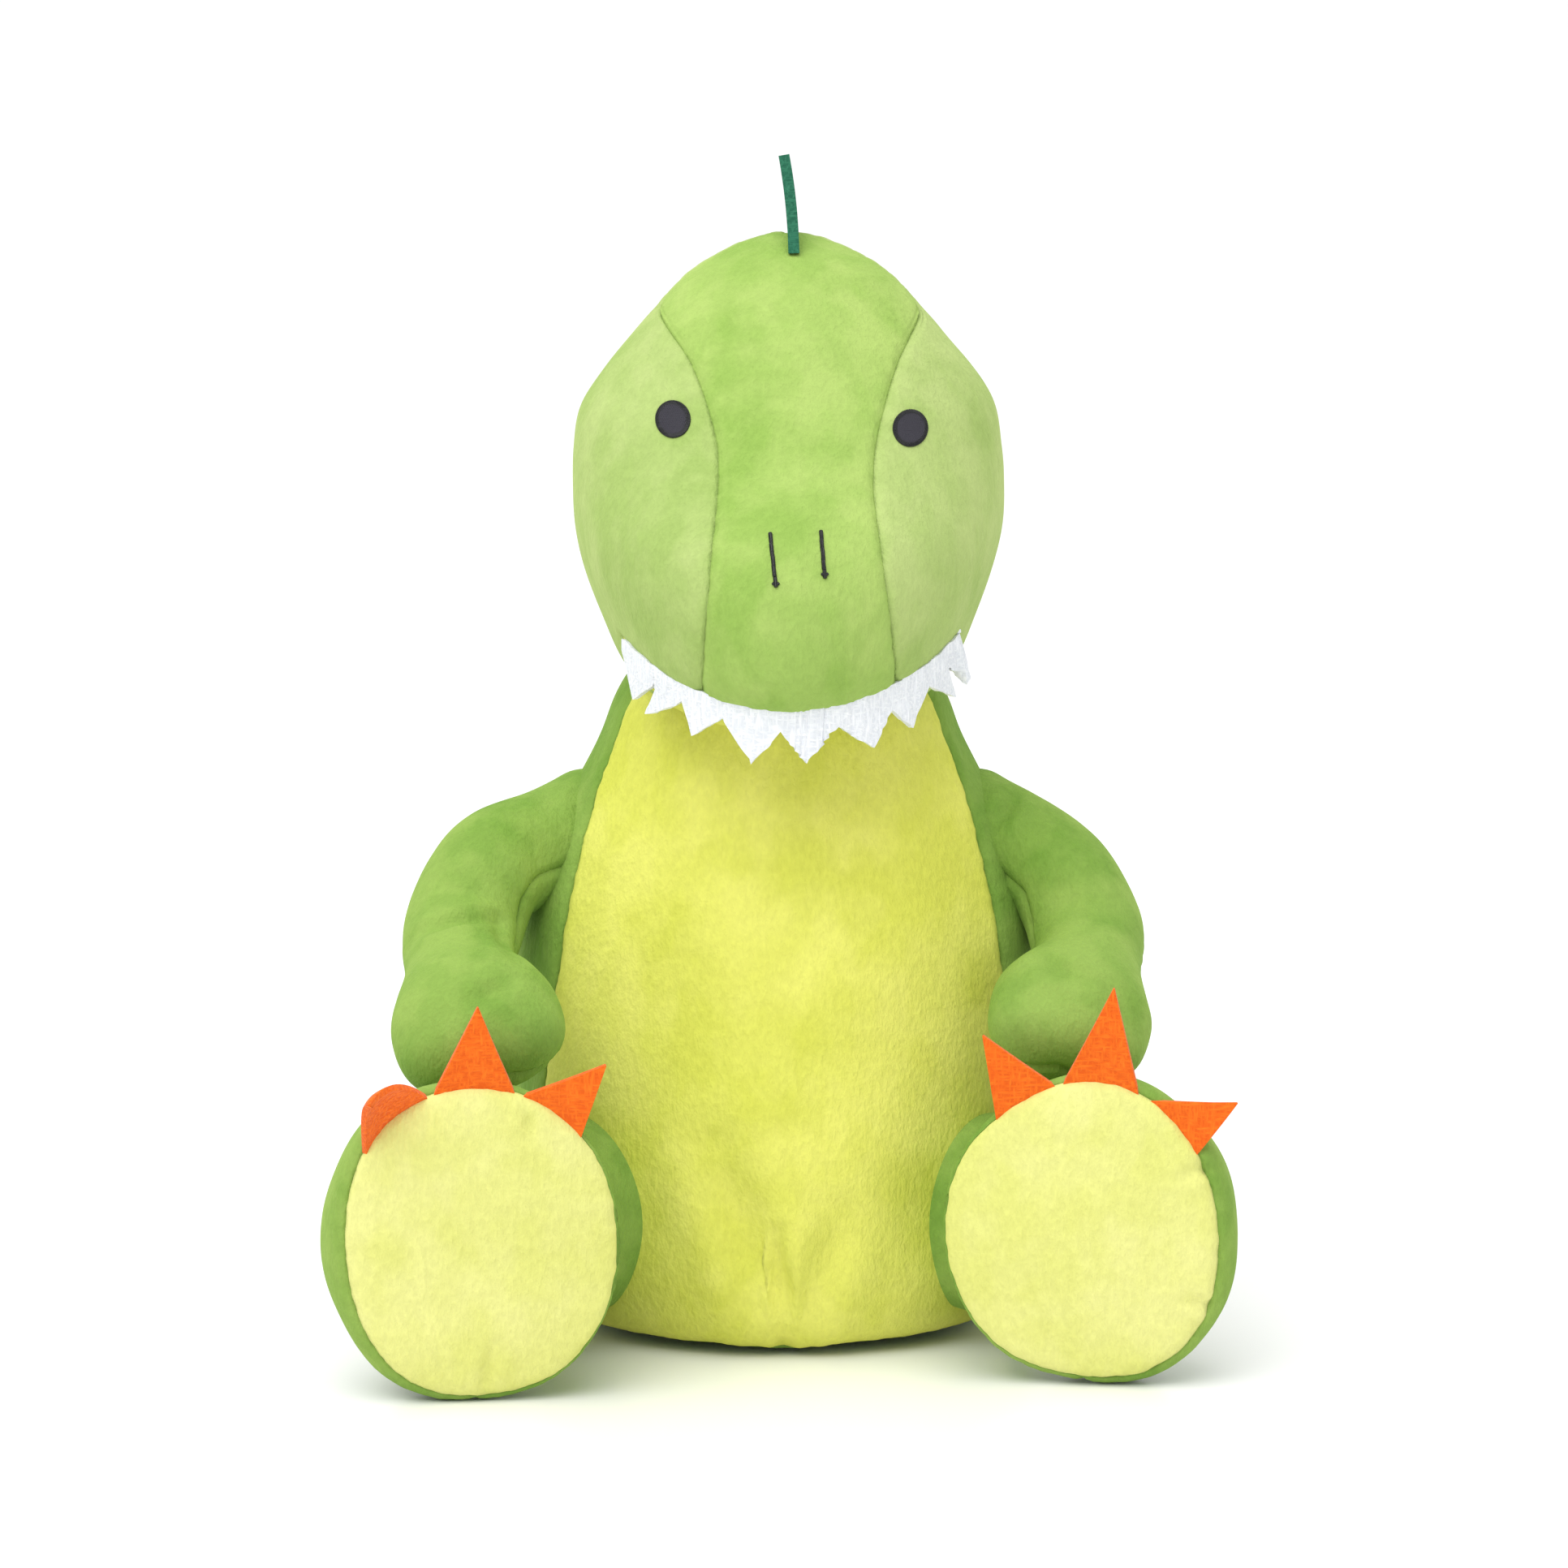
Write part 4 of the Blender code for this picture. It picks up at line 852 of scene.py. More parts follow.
def cut_chin(form):
    """Cut the chin panel out below the lip and in front of the mouth's corners."""
    shape = bmesh.new()
    shape.from_mesh(form.data)
    behind = LIP_CORNER.y + CHIN_MARGIN
    reach = [face for face in shape.faces if face.calc_center_median().y < behind]
    edges = {edge for face in reach for edge in face.edges}
    verts = {vert for face in reach for vert in face.verts}
    bmesh.ops.bisect_plane(shape, geom=[*reach, *edges, *verts], dist=CUT_MERGE,
                           plane_co=LIP_CORNER, plane_no=lip_normal)
    low = [face for face in shape.faces
           if (face.calc_center_median() - LIP_CORNER).dot(lip_normal) < 0]
    edges = {edge for face in low for edge in face.edges}
    verts = {vert for face in low for vert in face.verts}
    bmesh.ops.bisect_plane(shape, geom=[*low, *edges, *verts], dist=CUT_MERGE,
                           plane_co=LIP_CORNER, plane_no=(0, -1, 0))
    for face in shape.faces:
        middle = face.calc_center_median()
        below = (middle - LIP_CORNER).dot(lip_normal) < 0
        if below and middle.y < LIP_CORNER.y:
            face.material_index = 3
    shape.to_mesh(form.data)
    shape.free()


head.data.materials.append(None)
cut_chin(head)
blow_up(head)
fill_form(head, "head_filling", "head", "head_stuffing")
refine(head)
stuff(head)
head_skins = split_panels(head, "head", ["gusset", "cheek_left", "cheek_right", "chin"],
                          ["gusset", "cheek", "cheek", "yellow"],
                          ["head_gusset", "head_side_left", "head_side_right", "chin_panel"])

# %% [markdown]
# ## Legs
# Each leg is a short tube that widens to a round foot. Two green panels make the tube, with
# seams above and below, and a pale sole closes it. The real soles are not circles: they are
# fuller near the floor and pulled square where the claws are sewn in.

# %% Leg forms
# Centre, then half height and half width, from the hip to the edge of the foot.
LEG_STATIONS = {
    "left": [(0.0540, -0.0611, 0.0340, 0.0270, 0.0270), (0.0680, -0.0725, 0.0354, 0.0270, 0.0290),
             (0.0758, -0.0816, 0.0365, 0.0328, 0.0332), (0.0785, -0.0896, 0.0375, 0.0360, 0.0375),
             (0.0765, -0.0995, 0.0375, 0.0375, 0.0390)],
    "right": [(-0.0540, -0.0611, 0.0340, 0.0270, 0.0270),
              (-0.0680, -0.0789, 0.0354, 0.0270, 0.0290),
              (-0.0763, -0.0932, 0.0365, 0.0328, 0.0332),
              (-0.0790, -0.1056, 0.0375, 0.0360, 0.0375),
              (-0.0768, -0.1155, 0.0375, 0.0375, 0.0390)],
}
# Reach of the sole's edge every 20 degrees, from straight inward round below to outward
# and on over the top.
SOLE_REACH = {
    "left": [34.6, 34.4, 34.8, 35.3, 34.1, 36.0, 38.0, 38.2, 36.6, 35.0, 35.5, 37.0, 39.0,
             39.8, 38.8, 36.4, 36.6, 35.5, 34.6],
    "right": [35.7, 36.0, 36.9, 37.1, 35.7, 36.3, 36.6, 34.9, 33.1, 32.8, 34.6, 38.0, 40.8,
              40.8, 40.8, 40.0, 38.6, 36.4, 35.7],
}
SOLE_TURN = math.radians(7)      # soles face a little towards each other
HIP_TURN = math.radians(18)      # legs leave the hips a little outward
SOLE_ROUND = 0.0062
SOLE_INWARD = 0.0024         # how far the sole sits inward of the foot's widest ring
LEG_COLUMNS = 96
SIDES = {"left": 1.0, "right": -1.0}


BALL_TURNS = (1, 20, 40, 62)     # degrees from the pole of a limb's round root
THINNEST = 0.0004


def unit(vector):
    """Vector of length one."""
    return vector / np.linalg.norm(vector)


def limb_station(centre, direction, top, half_height, half_width):
    """Station square to a limb, with its front arm as near to top as it can be."""
    upright = unit(top - direction * np.dot(direction, top))
    side = np.cross(direction, upright)
    return (centre, side * half_width, upright * half_height, -upright * half_height)


def limb_stations(table, top, ball, ends, turn=None):
    """Stations of a limb: a ball at its root, its length, and its closed end.

    turn gives the directions of the first and last ring; without it rings follow the curve."""
    top = np.array(top, float)
    table = np.array(table, float)
    steps = np.linalg.norm(np.diff(table[:, :3], axis=0), axis=1)
    along = np.concatenate([[0], np.cumsum(steps)])
    fine = smooth(np.column_stack([along, table]), np.linspace(0, along[-1], 3 * len(table) - 2))
    centres = fine[:, :3]
    directions = np.gradient(centres, axis=0)
    if turn is not None:
        share = np.linspace(0, 1, len(centres))[:, None]
        directions = np.array(turn[0]) * (1 - share) + np.array(turn[1]) * share
    stations = []
    first = unit(directions[0])
    for angle in BALL_TURNS:
        place = centres[0] - first * ball * math.cos(math.radians(angle))
        radius = ball * math.sin(math.radians(angle))
        stations.append(limb_station(place, first, top, radius, radius))
    for centre, direction, row in zip(centres, directions, fine):
        stations.append(limb_station(centre, unit(direction), top, row[3], row[4]))
    last = unit(directions[-1])
    for forward, shrink in ends:
        height = max(fine[-1, 3] * (1 - shrink), THINNEST)
        width = max(fine[-1, 4] * (1 - shrink), THINNEST)
        stations.append(limb_station(centres[-1] + last * forward, last, top, height, width))
    return stations


PLAIN_REACH = 0.0359         # reach that stands for no swelling
FOOT_RUN = 0.030             # how far behind the sole its outline fades to an oval
ROUNDING = 7                 # neighbouring columns that are averaged


def foot_swell(rows, side):
    """How far each row and column stands out of a plain oval, to follow the sole."""
    angles = np.linspace(0, math.tau, LEG_COLUMNS, endpoint=False)
    # Column angles run round from outward; on the right leg they run the other way up.
    clock = np.degrees(np.angle(np.exp(1j * angles * SIDES[side])))
    reach = np.array(SOLE_REACH[side]) / 1000
    marks = np.radians(np.arange(-180, 181, 20))
    wrapped = np.interp(np.radians(clock), marks, reach)
    kernel = np.ones(ROUNDING) / ROUNDING
    wrapped = np.convolve(np.tile(wrapped, 3), kernel, "same")[LEG_COLUMNS:2 * LEG_COLUMNS]
    shape = wrapped / PLAIN_REACH
    distance = np.linalg.norm(rows[:, :3] - rows[-1, :3], axis=1)
    share = np.clip(1.0 - distance / FOOT_RUN, 0.0, 1.0)
    share = share ** 2 * (3 - 2 * share)
    return 1.0 + share[:, None] * (shape[None, :] - 1.0)


EDGE_TURNS = (25, 50, 72)
EDGE_SHRINK = 0.055          # share that the foot narrows as its edge rounds over
# How far each dome ring of the sole stands forward, by its share of the sole's size.
SOLE_DOME = [(0.93, 0.0012), (0.75, 0.0022), (0.5, 0.0030), (0.25, 0.0034), (0.01, 0.0035)]
sole_edges = [(SOLE_ROUND * math.sin(math.radians(turn)),
               EDGE_SHRINK * (1 - math.cos(math.radians(turn)))) for turn in EDGE_TURNS]
SOLE_FOLDS = {
    "left": [([(0.1076, 0.0557), (0.1032, 0.0553), (0.0982, 0.0537)], 0.0011, 0.0016),
             ([(0.1076, 0.0206), (0.1031, 0.0219), (0.0985, 0.0223)], 0.0011, 0.0016)],
    "right": [([(-0.0717, 0.0028), (-0.0713, 0.0087), (-0.0704, 0.0138)], 0.0011, 0.0018),
              ([(-0.0633, 0.0783), (-0.0613, 0.0723), (-0.0604, 0.0663)], 0.0011, 0.0018)],
}
leg_forms = {}
for side, sign in SIDES.items():
    facing = np.array((-sign * math.sin(SOLE_TURN), -math.cos(SOLE_TURN), 0.0))
    hip_way = np.array((sign * math.sin(HIP_TURN), -math.cos(HIP_TURN), 0.0))
    stations = limb_stations(LEG_STATIONS[side], (sign, 0, 0), 0.027, sole_edges,
                             (hip_way, facing))
    for step, edge in enumerate(stations[-len(sole_edges):], start=1):
        edge[0][0] -= sign * SOLE_INWARD * step / len(sole_edges)
    leg_rows = dense(stations)
    rim = stations[-1]
    disc = [rim]
    for share, forward in SOLE_DOME:
        centre = np.array(rim[0]) + facing * forward
        disc.append((centre, *(np.array(arm) * share for arm in rim[1:])))
    sole_rows = dense(disc)
    rows = np.vstack([leg_rows, sole_rows[1:]])
    columns = np.tile(np.linspace(0, math.tau, LEG_COLUMNS, endpoint=False), (len(rows), 1))

    def leg_panel(row, column, rim_row=len(leg_rows) - 1):
        """0 outer panel, 1 inner panel, 2 sole."""
        if row >= rim_row:
            return 2
        quarter = LEG_COLUMNS // 4
        return 1 if quarter <= column < 3 * quarter else 0

    leg = closed_form(f"leg_{side}", surface(rows, columns, foot_swell(rows, side)[..., None]),
                      leg_panel)
    blow_up(leg, cap=0.0025)
    fill_form(leg, f"leg_{side}_filling", f"leg_{side}", f"leg_{side}_stuffing")
    refine(leg)
    stuff(leg)
    press_from_front(leg, SOLE_FOLDS[side])
    keep_above_floor(leg)
    split_panels(leg, f"leg_{side}", [f"leg_{side}_outer", f"leg_{side}_inner", f"sole_{side}"],
                 ["green", "green", "sole"],
                 [f"leg_{side}_outer_panel", f"leg_{side}_inner_panel", f"leg_{side}_sole"])
    leg_forms[side] = leg

# %% [markdown]
# ## Arms
# An arm is a curved sausage with a plain mitten at its end. It leaves the shoulder level,
# bends down at the elbow, where the cloth folds, and the mitten rests on the leg.

# %% Arm forms
ARM_STATIONS = {
    "left": [(0.0480, -0.0240, 0.1270, 0.0172, 0.0172), (0.0590, -0.0300, 0.1232, 0.0158, 0.0156),
             (0.0712, -0.0385, 0.1165, 0.0154, 0.0154), (0.0775, -0.0478, 0.1040, 0.0158, 0.0158),
             (0.0770, -0.0620, 0.0960, 0.0146, 0.0150), (0.0730, -0.0745, 0.0898, 0.0162, 0.0212),
             (0.0712, -0.0815, 0.0840, 0.0152, 0.0212)],
    "right": [(-0.0480, -0.0240, 0.1270, 0.0172, 0.0172),
              (-0.0590, -0.0305, 0.1235, 0.0158, 0.0156),
              (-0.0740, -0.0425, 0.1185, 0.0156, 0.0156),
              (-0.0805, -0.0526, 0.1050, 0.0160, 0.0160),
              (-0.0800, -0.0720, 0.0970, 0.0146, 0.0152),
              (-0.0762, -0.0890, 0.0905, 0.0166, 0.0220),
              (-0.0738, -0.0965, 0.0845, 0.0156, 0.0222)],
}
ARM_COLUMNS = 56
# Share of the arm's length, and how far round from its top the two seams run there: along
# the sides at first, then under the mitten.
ARM_SEAM = [(0.0, 90), (0.35, 90), (0.6, 96), (0.8, 118), (1.0, 128)]
HAND_ROUND = 0.0115
hand_ends = [(HAND_ROUND * math.sin(math.radians(turn)), 1 - math.cos(math.radians(turn)) ** 0.75)
             for turn in (20, 38, 54, 68, 80, 89)]
ARM_FOLDS = {
    "left": [([(0.0610, 0.1375), (0.0575, 0.1345), (0.0545, 0.1308)], 0.0016, 0.0022),
             ([(0.0640, 0.1030), (0.0690, 0.1012), (0.0745, 0.0985)], 0.0018, 0.0024),
             ([(0.0665, 0.1160), (0.0735, 0.1140), (0.0810, 0.1110)], 0.0008, 0.0040)],
    "right": [([(-0.0935, 0.1045), (-0.0850, 0.1101), (-0.0778, 0.1115), (-0.0707, 0.1096),
                (-0.0660, 0.1047)], 0.0018, 0.0024),
              ([(-0.0665, 0.1010), (-0.0700, 0.0989), (-0.0760, 0.0972)], 0.0013, 0.0024),
              ([(-0.0520, 0.1400), (-0.0500, 0.1360), (-0.0500, 0.1310)], 0.0012, 0.0024),
              ([(-0.0660, 0.1296), (-0.0600, 0.1240), (-0.0560, 0.1193)], 0.0009, 0.0045)],
}
arm_forms = {}
for side, sign in SIDES.items():
    plane_normal = (0.21 * sign, -0.36, 0.91)
    rows = dense(limb_stations(ARM_STATIONS[side], plane_normal, 0.0165, hand_ends))
    share = np.linspace(0, 1, len(rows))
    seam = np.radians(smooth(ARM_SEAM, share)[:, 0])
    columns = seamed_angles(seam, ARM_COLUMNS // 4, ARM_COLUMNS)

    def arm_panel(row, column):
        """0 upper panel, 1 lower panel."""
        quarter = ARM_COLUMNS // 4
        return 1 if quarter <= column < 3 * quarter else 0

    arm = closed_form(f"arm_{side}", surface(rows, columns), arm_panel)
    blow_up(arm, cap=0.0018)
    fill_form(arm, f"arm_{side}_filling", f"arm_{side}", f"arm_{side}_stuffing")
    refine(arm)
    stuff(arm)
    press_from_front(arm, ARM_FOLDS[side])
    split_panels(arm, f"arm_{side}", [f"arm_{side}_upper", f"arm_{side}_lower"],
                 ["green", "green"],
                 [f"arm_{side}_upper_panel", f"arm_{side}_lower_panel"])
    arm_forms[side] = arm

# %% [markdown]
# ## Tail
# The tail is a short cone of two panels that lies behind the toy and keeps it from tipping
# back.

# %% Tail form
TAIL_STATIONS = [(0.0, 0.0232, 0.0258, 0.0250, 0.0250), (0.0, 0.0350, 0.0226, 0.0218, 0.0218),
                 (0.0, 0.0575, 0.0193, 0.0178, 0.0178), (0.0, 0.0820, 0.0176, 0.0128, 0.0128),
                 (0.0, 0.1036, 0.0200, 0.0085, 0.0085), (0.0, 0.1192, 0.0262, 0.0062, 0.0062)]
TAIL_COLUMNS = 64
tail_ends = [(0.0045 * math.sin(math.radians(turn)), 1 - math.cos(math.radians(turn)))
             for turn in (30, 50, 70, 88)]
rows = dense(limb_stations(TAIL_STATIONS, (1, 0, 0), 0.025, tail_ends))
columns = np.tile(np.linspace(0, math.tau, TAIL_COLUMNS, endpoint=False), (len(rows), 1))


def tail_panel(row, column):
    """0 left panel, 1 right panel."""
    quarter = TAIL_COLUMNS // 4
    return 1 if quarter <= column < 3 * quarter else 0


tail = closed_form("tail", surface(rows, columns), tail_panel)
blow_up(tail, cap=0.0015)
fill_form(tail, "tail_filling", "tail", "tail_stuffing")
refine(tail)
stuff(tail)
keep_above_floor(tail)
split_panels(tail, "tail", ["tail_left", "tail_right"], ["green", "green"],
             ["tail_panel_left", "tail_panel_right"])

# %% [markdown]
# ## Embroidered face
# The eyes are machine embroidery: a stippled charcoal disc inside a ring of satin stitches
# laid across its edge. The nostrils are two lines of backstitch with the thread's end
# tucked in below. Stitches are cheap to model one by one: each is a short rounded rod, made
# once and copied round the ring, so the ring catches the light like real thread.

# %% Finding the cloth under a stitch
face_tree = surface_tree(head_skins)


def on_face(across, height):
    """Point and outward direction on the front of the head."""
    place, normal, _, _ = face_tree.ray_cast(Vector((across, IN_FRONT, height)), BACKWARD)
    if normal.y > 0:
        normal = -normal
    return place, normal


def finish_piece(piece, name, material, body, slot, *stands_for):
    """Name a piece, give it its finish and hang it on its body."""
    piece.name = name
    piece.data.name = name
    piece.data.materials.clear()
    piece.data.materials.append(material)
    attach(piece, body)
    if stands_for:
        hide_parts(*stands_for)
    print(name, len(piece.data.polygons), "faces")
    return piece


# %% One stitch
def stitch_mesh(length, width):
    """Short rounded rod along X, the shape that every stitch is copied from."""
    bpy.ops.object.select_all(action="DESELECT")
    bpy.ops.mesh.primitive_cylinder_add(vertices=8, radius=width / 2, depth=length,
                                        rotation=(0, math.pi / 2, 0))
    rod = bpy.context.active_object
    bpy.ops.object.transform_apply(location=True, rotation=True, scale=True)
    bpy.ops.object.mode_set(mode="EDIT")
    bpy.ops.mesh.select_all(action="SELECT")
    bpy.ops.mesh.bevel(offset=width * 0.22, segments=2, affect="EDGES")
    bpy.ops.object.mode_set(mode="OBJECT")
    mesh = rod.data.copy()
    bpy.data.objects.remove(rod)
    return mesh


def lay_stitches(name, mesh, frames):
    """One object holding a copy of a stitch for every frame."""
    shape = bmesh.new()
    for frame in frames:
        copy = mesh.copy()
        copy.transform(frame)
        shape.from_mesh(copy)
        bpy.data.meshes.remove(copy)
    joined = bpy.data.meshes.new(name)
    shape.to_mesh(joined)
    shape.free()
    joined.shade_smooth()
    piece = bpy.data.objects.new(name, joined)
    bpy.context.scene.collection.objects.link(piece)
    return piece


def frame_at(place, along, outward):
    """Matrix that lays a stitch along a direction, with its top facing outward."""
    along = along.normalized()
    side = outward.cross(along).normalized()
    upward = along.cross(side)
    matrix = Matrix((along, side, upward)).transposed().to_4x4()
    matrix.translation = place
    return matrix


# %% Eyes
EYE_PLACES = {"left": (0.0322, 0.2338), "right": (-0.0268, 0.2359)}
EYE_RADIUS = 0.0044
EYE_RING = 0.0010            # width of the satin ring
RING_STITCHES = 64
STIPPLE_ROWS = 17

ring_stitch = stitch_mesh(EYE_RING * 1.25, 0.00052)
short_stitch = stitch_mesh(0.0011, 0.00055)
for side, (across, height) in EYE_PLACES.items():
    rim_frames = []
    for step in range(RING_STITCHES):
        angle = math.tau * step / RING_STITCHES
        reach = EYE_RADIUS - EYE_RING / 2
        spoke = Vector((math.cos(angle), 0, math.sin(angle)))
        place, outward = on_face(across + reach * spoke.x, height + reach * spoke.z)
        flat = (spoke - outward * spoke.dot(outward)).normalized()
        slant = (flat + outward.cross(flat) * 0.35).normalized()
        rim_frames.append(frame_at(place + outward * 0.00018, slant, outward))
    rim = lay_stitches("rim", ring_stitch, rim_frames)
    finish_piece(rim, f"eye_rim_{side}", THREAD_RIM, "head", "thread_black")

    fill_frames = []
    room = EYE_RADIUS - EYE_RING * 0.55
    pitch = 2 * room / STIPPLE_ROWS
    for row in range(STIPPLE_ROWS):
        for column in range(STIPPLE_ROWS):
            x = -room + pitch * (column + 0.5 + 0.5 * (row % 2))
            z = -room + pitch * (row + 0.5)
            if math.hypot(x, z) > room:
                continue
            place, outward = on_face(across + x, height + z)
            turn = 0.9 + 0.8 * noise.noise(Vector((x, side == "left", z)) * 900.0)
            along = Vector((math.cos(turn), 0, math.sin(turn)))
            along -= outward * along.dot(outward)
            fill_frames.append(frame_at(place + outward * 0.0001, along, outward))
    fill = lay_stitches("fill", short_stitch, fill_frames)
    finish_piece(fill, f"eye_fill_{side}", THREAD_FILL, "head", "thread_black", f"eye_{side}")

# %% Nostrils
# Across, height of the top and of the bottom of each nostril.
NOSTRILS = {"left": ((0.0098, 0.2108), (0.0107, 0.2006)),
            "right": ((-0.0026, 0.2106), (-0.0012, 0.1985))}
NOSTRIL_STITCHES = 5
back_stitch = stitch_mesh(0.0034, 0.0011)
knot_stitch = stitch_mesh(0.0013, 0.0008)
for side, (top, bottom) in NOSTRILS.items():
    frames = []
    top_place, _ = on_face(*top)
    bottom_place, _ = on_face(*bottom)
    along = bottom_place - top_place
    for step in range(NOSTRIL_STITCHES):
        share = (step + 0.5) / NOSTRIL_STITCHES
        wander = 0.00003 * (-1) ** step
        across = top[0] + (bottom[0] - top[0]) * share + wander
        place, outward = on_face(across, top[1] + (bottom[1] - top[1]) * share)
        frames.append(frame_at(place + outward * 0.00012, along, outward))
    piece = lay_stitches("nostril", back_stitch, frames)
    knots = []
    for offset in (-0.00035, 0.00035):
        place, outward = on_face(bottom[0] + offset, bottom[1] + 0.0004)
        cross = Vector((1, 0, offset * 2000))
        knots.append(frame_at(place + outward * 0.0002, cross, outward))
    knot = lay_stitches("knot", knot_stitch, knots)
    use_only(piece)
    knot.select_set(True)
    bpy.ops.object.join()
    finish_piece(piece, f"nostril_stitch_{side}", THREAD_RIM, "head", "thread_black",
                 f"nostril_{side}")

# %% [markdown]
# ## Felt teeth
# The teeth are one strip of white felt, cut into points and caught in the lip seam. A felt
# edge is square and slightly furry, and the strip is a little too long for the seam, so it
# waves. It starts as a flat grid. Its top is laid along the seam, and its lower edge is drawn
# out to a tip in each tooth and back to the root between two teeth.

# %% Lip line
def lip_line():
    """Points of the lip seam from the right corner of the mouth to the left."""
    groups = {}
    for face in head.data.polygons:
        for vertex in face.vertices:
            groups.setdefault(vertex, set()).add(face.material_index)
    points = get_points(head)
    found = [Vector(points[number]) for number, owners in groups.items()
             if 3 in owners and len(owners) > 1
             and (Vector(points[number]) - LIP_CORNER).dot(lip_normal) > -0.0022]
    found.sort(key=lambda point: point.x)
    return found


lip = lip_line()
lip_track = np.array(lip)
keep = np.concatenate([[True], np.diff(lip_track[:, 0]) > 0.0002])
lip_track = lip_track[keep]
print("lip seam runs from", lip_track[0].round(4), "to", lip_track[-1].round(4))

# %% Tooth strip
# Places across the head where two teeth meet, then the teeth's tips, each with its drop below
# the lip. The outer teeth lean outward.
TOOTH_ROOTS = [(-0.0378, 0.0010), (-0.0296, 0.0026), (-0.0229, 0.0027), (-0.0133, 0.0030),
               (0.0002, 0.0044), (0.0135, 0.0042), (0.0261, 0.0046), (0.0352, 0.0042),
               (0.0402, 0.0046), (0.0442, 0.0010)]
TOOTH_TIPS = [(-0.0352, 0.0112), (-0.0324, 0.0126), (-0.0210, 0.0102), (-0.0069, 0.0130),
              (0.0060, 0.0122), (0.0219, 0.0120), (0.0312, 0.0120), (0.0422, 0.0134),
              (0.0462, 0.0116)]
TOOTH_COLUMNS = 20
STRIP_ROWS = 12
FELT_THICKNESS = 0.0015
TUCK = 0.0018                # how far the strip runs up into the seam
GATHER = 0.00025             # height of the small gathers under the snout


def on_lip(across):
    """Point of the lip seam at a place across the head; past a corner it stays level."""
    return Vector((across, *(np.interp(across, lip_track[:, 0], lip_track[:, axis])
                             for axis in (1, 2))))


marks = [TOOTH_ROOTS[0]]
upper = [TOOTH_ROOTS[0][0]]
for left_root, tip, right_root in zip(TOOTH_ROOTS, TOOTH_TIPS, TOOTH_ROOTS[1:]):
    marks += [tip, right_root]
    upper += [(left_root[0] + right_root[0]) / 2, right_root[0]]
marks = np.array(marks)
numbers = np.arange(len(marks))

bpy.ops.object.select_all(action="DESELECT")
bpy.ops.mesh.primitive_grid_add(x_subdivisions=TOOTH_COLUMNS * len(TOOTH_TIPS),
                                y_subdivisions=STRIP_ROWS, size=2.0)
strip = bpy.context.active_object
for vertex in strip.data.vertices:
    number = (vertex.co.x + 1) / 2 * numbers[-1]
    down = (1 - vertex.co.y) / 2
    across = np.interp(number, numbers, upper)
    drop = np.interp(number, numbers, marks[:, 1])
    top = on_lip(across) + Vector((0, 0, TUCK))
    bottom = on_lip(np.interp(number, numbers, marks[:, 0])) - Vector((0, 0, drop))
    ahead = on_lip(across + 0.001) - on_lip(across - 0.001)
    outward = Vector((ahead.y, -ahead.x, 0)).normalized()
    fall = max(down * (drop + TUCK) - TUCK, 0.0) / 0.01
    wave = 0.0005 * fall * noise.noise(Vector((across * 160.0, 3.1, 0)))
    gather = GATHER * math.exp(-((across - 0.008) / 0.006) ** 2) * math.sin(across * 4200.0)
    vertex.co = top.lerp(bottom, down) + outward * (0.0008 + wave + gather - 0.0002 * fall)
strip.data.update()
thick = strip.modifiers.new("felt", "SOLIDIFY")
thick.thickness = FELT_THICKNESS
thick.offset = 1.0
use_only(strip)
bpy.ops.object.modifier_apply(modifier=thick.name)
strip.data.shade_flat()
bpy.ops.object.shade_smooth_by_angle(angle=math.radians(40))
finish_piece(strip, "tooth_strip_felt", FELT_WHITE, "head", "felt_white", "tooth_strip")

# %% [markdown]
# ## Felt claws and crest
# Each claw and each spike is a triangle cut from felt, with its base caught in a seam. Felt
# is thick and springy: a triangle never lies quite flat, so each one gets a slight curl, and
# one claw of the right foot has been bent forward over the sole.

# %% A felt triangle
CLAW_ROWS = 14
CLAW_COLUMNS = 12


def felt_triangle(base, tip, bow, thickness=FELT_THICKNESS):
    """Triangle of felt from a base curve to a tip; bow is how far its middle curls."""
    bpy.ops.object.select_all(action="DESELECT")
    bpy.ops.mesh.primitive_grid_add(x_subdivisions=CLAW_COLUMNS, y_subdivisions=CLAW_ROWS,
                                    size=2.0)
    piece = bpy.context.active_object
    base = np.array([tuple(point) for point in base])
    marks = np.linspace(0, 1, len(base))
    tip = np.array(tip, float)
    bow = np.array(bow, float)
    for vertex in piece.data.vertices:
        across = (vertex.co.x + 1) / 2
        up = (vertex.co.y + 1) / 2 * 0.985
        root = np.array([np.interp(across, marks, base[:, axis]) for axis in range(3)])
        place = root * (1 - up) + tip * up + bow * 4 * up * (1 - up)
        vertex.co = Vector(place)
    thick = piece.modifiers.new("felt", "SOLIDIFY")
    thick.thickness = thickness
    thick.offset = 0.0
    edge = piece.modifiers.new("cut edge", "BEVEL")
    edge.width = thickness * 0.16
    edge.segments = 2
    edge.limit_method = "ANGLE"
    edge.angle_limit = math.radians(50)
    use_only(piece)
    bpy.ops.object.modifier_apply(modifier=thick.name)
    bpy.ops.object.modifier_apply(modifier=edge.name)
    bpy.ops.object.shade_smooth_by_angle(angle=math.radians(40))
    return piece


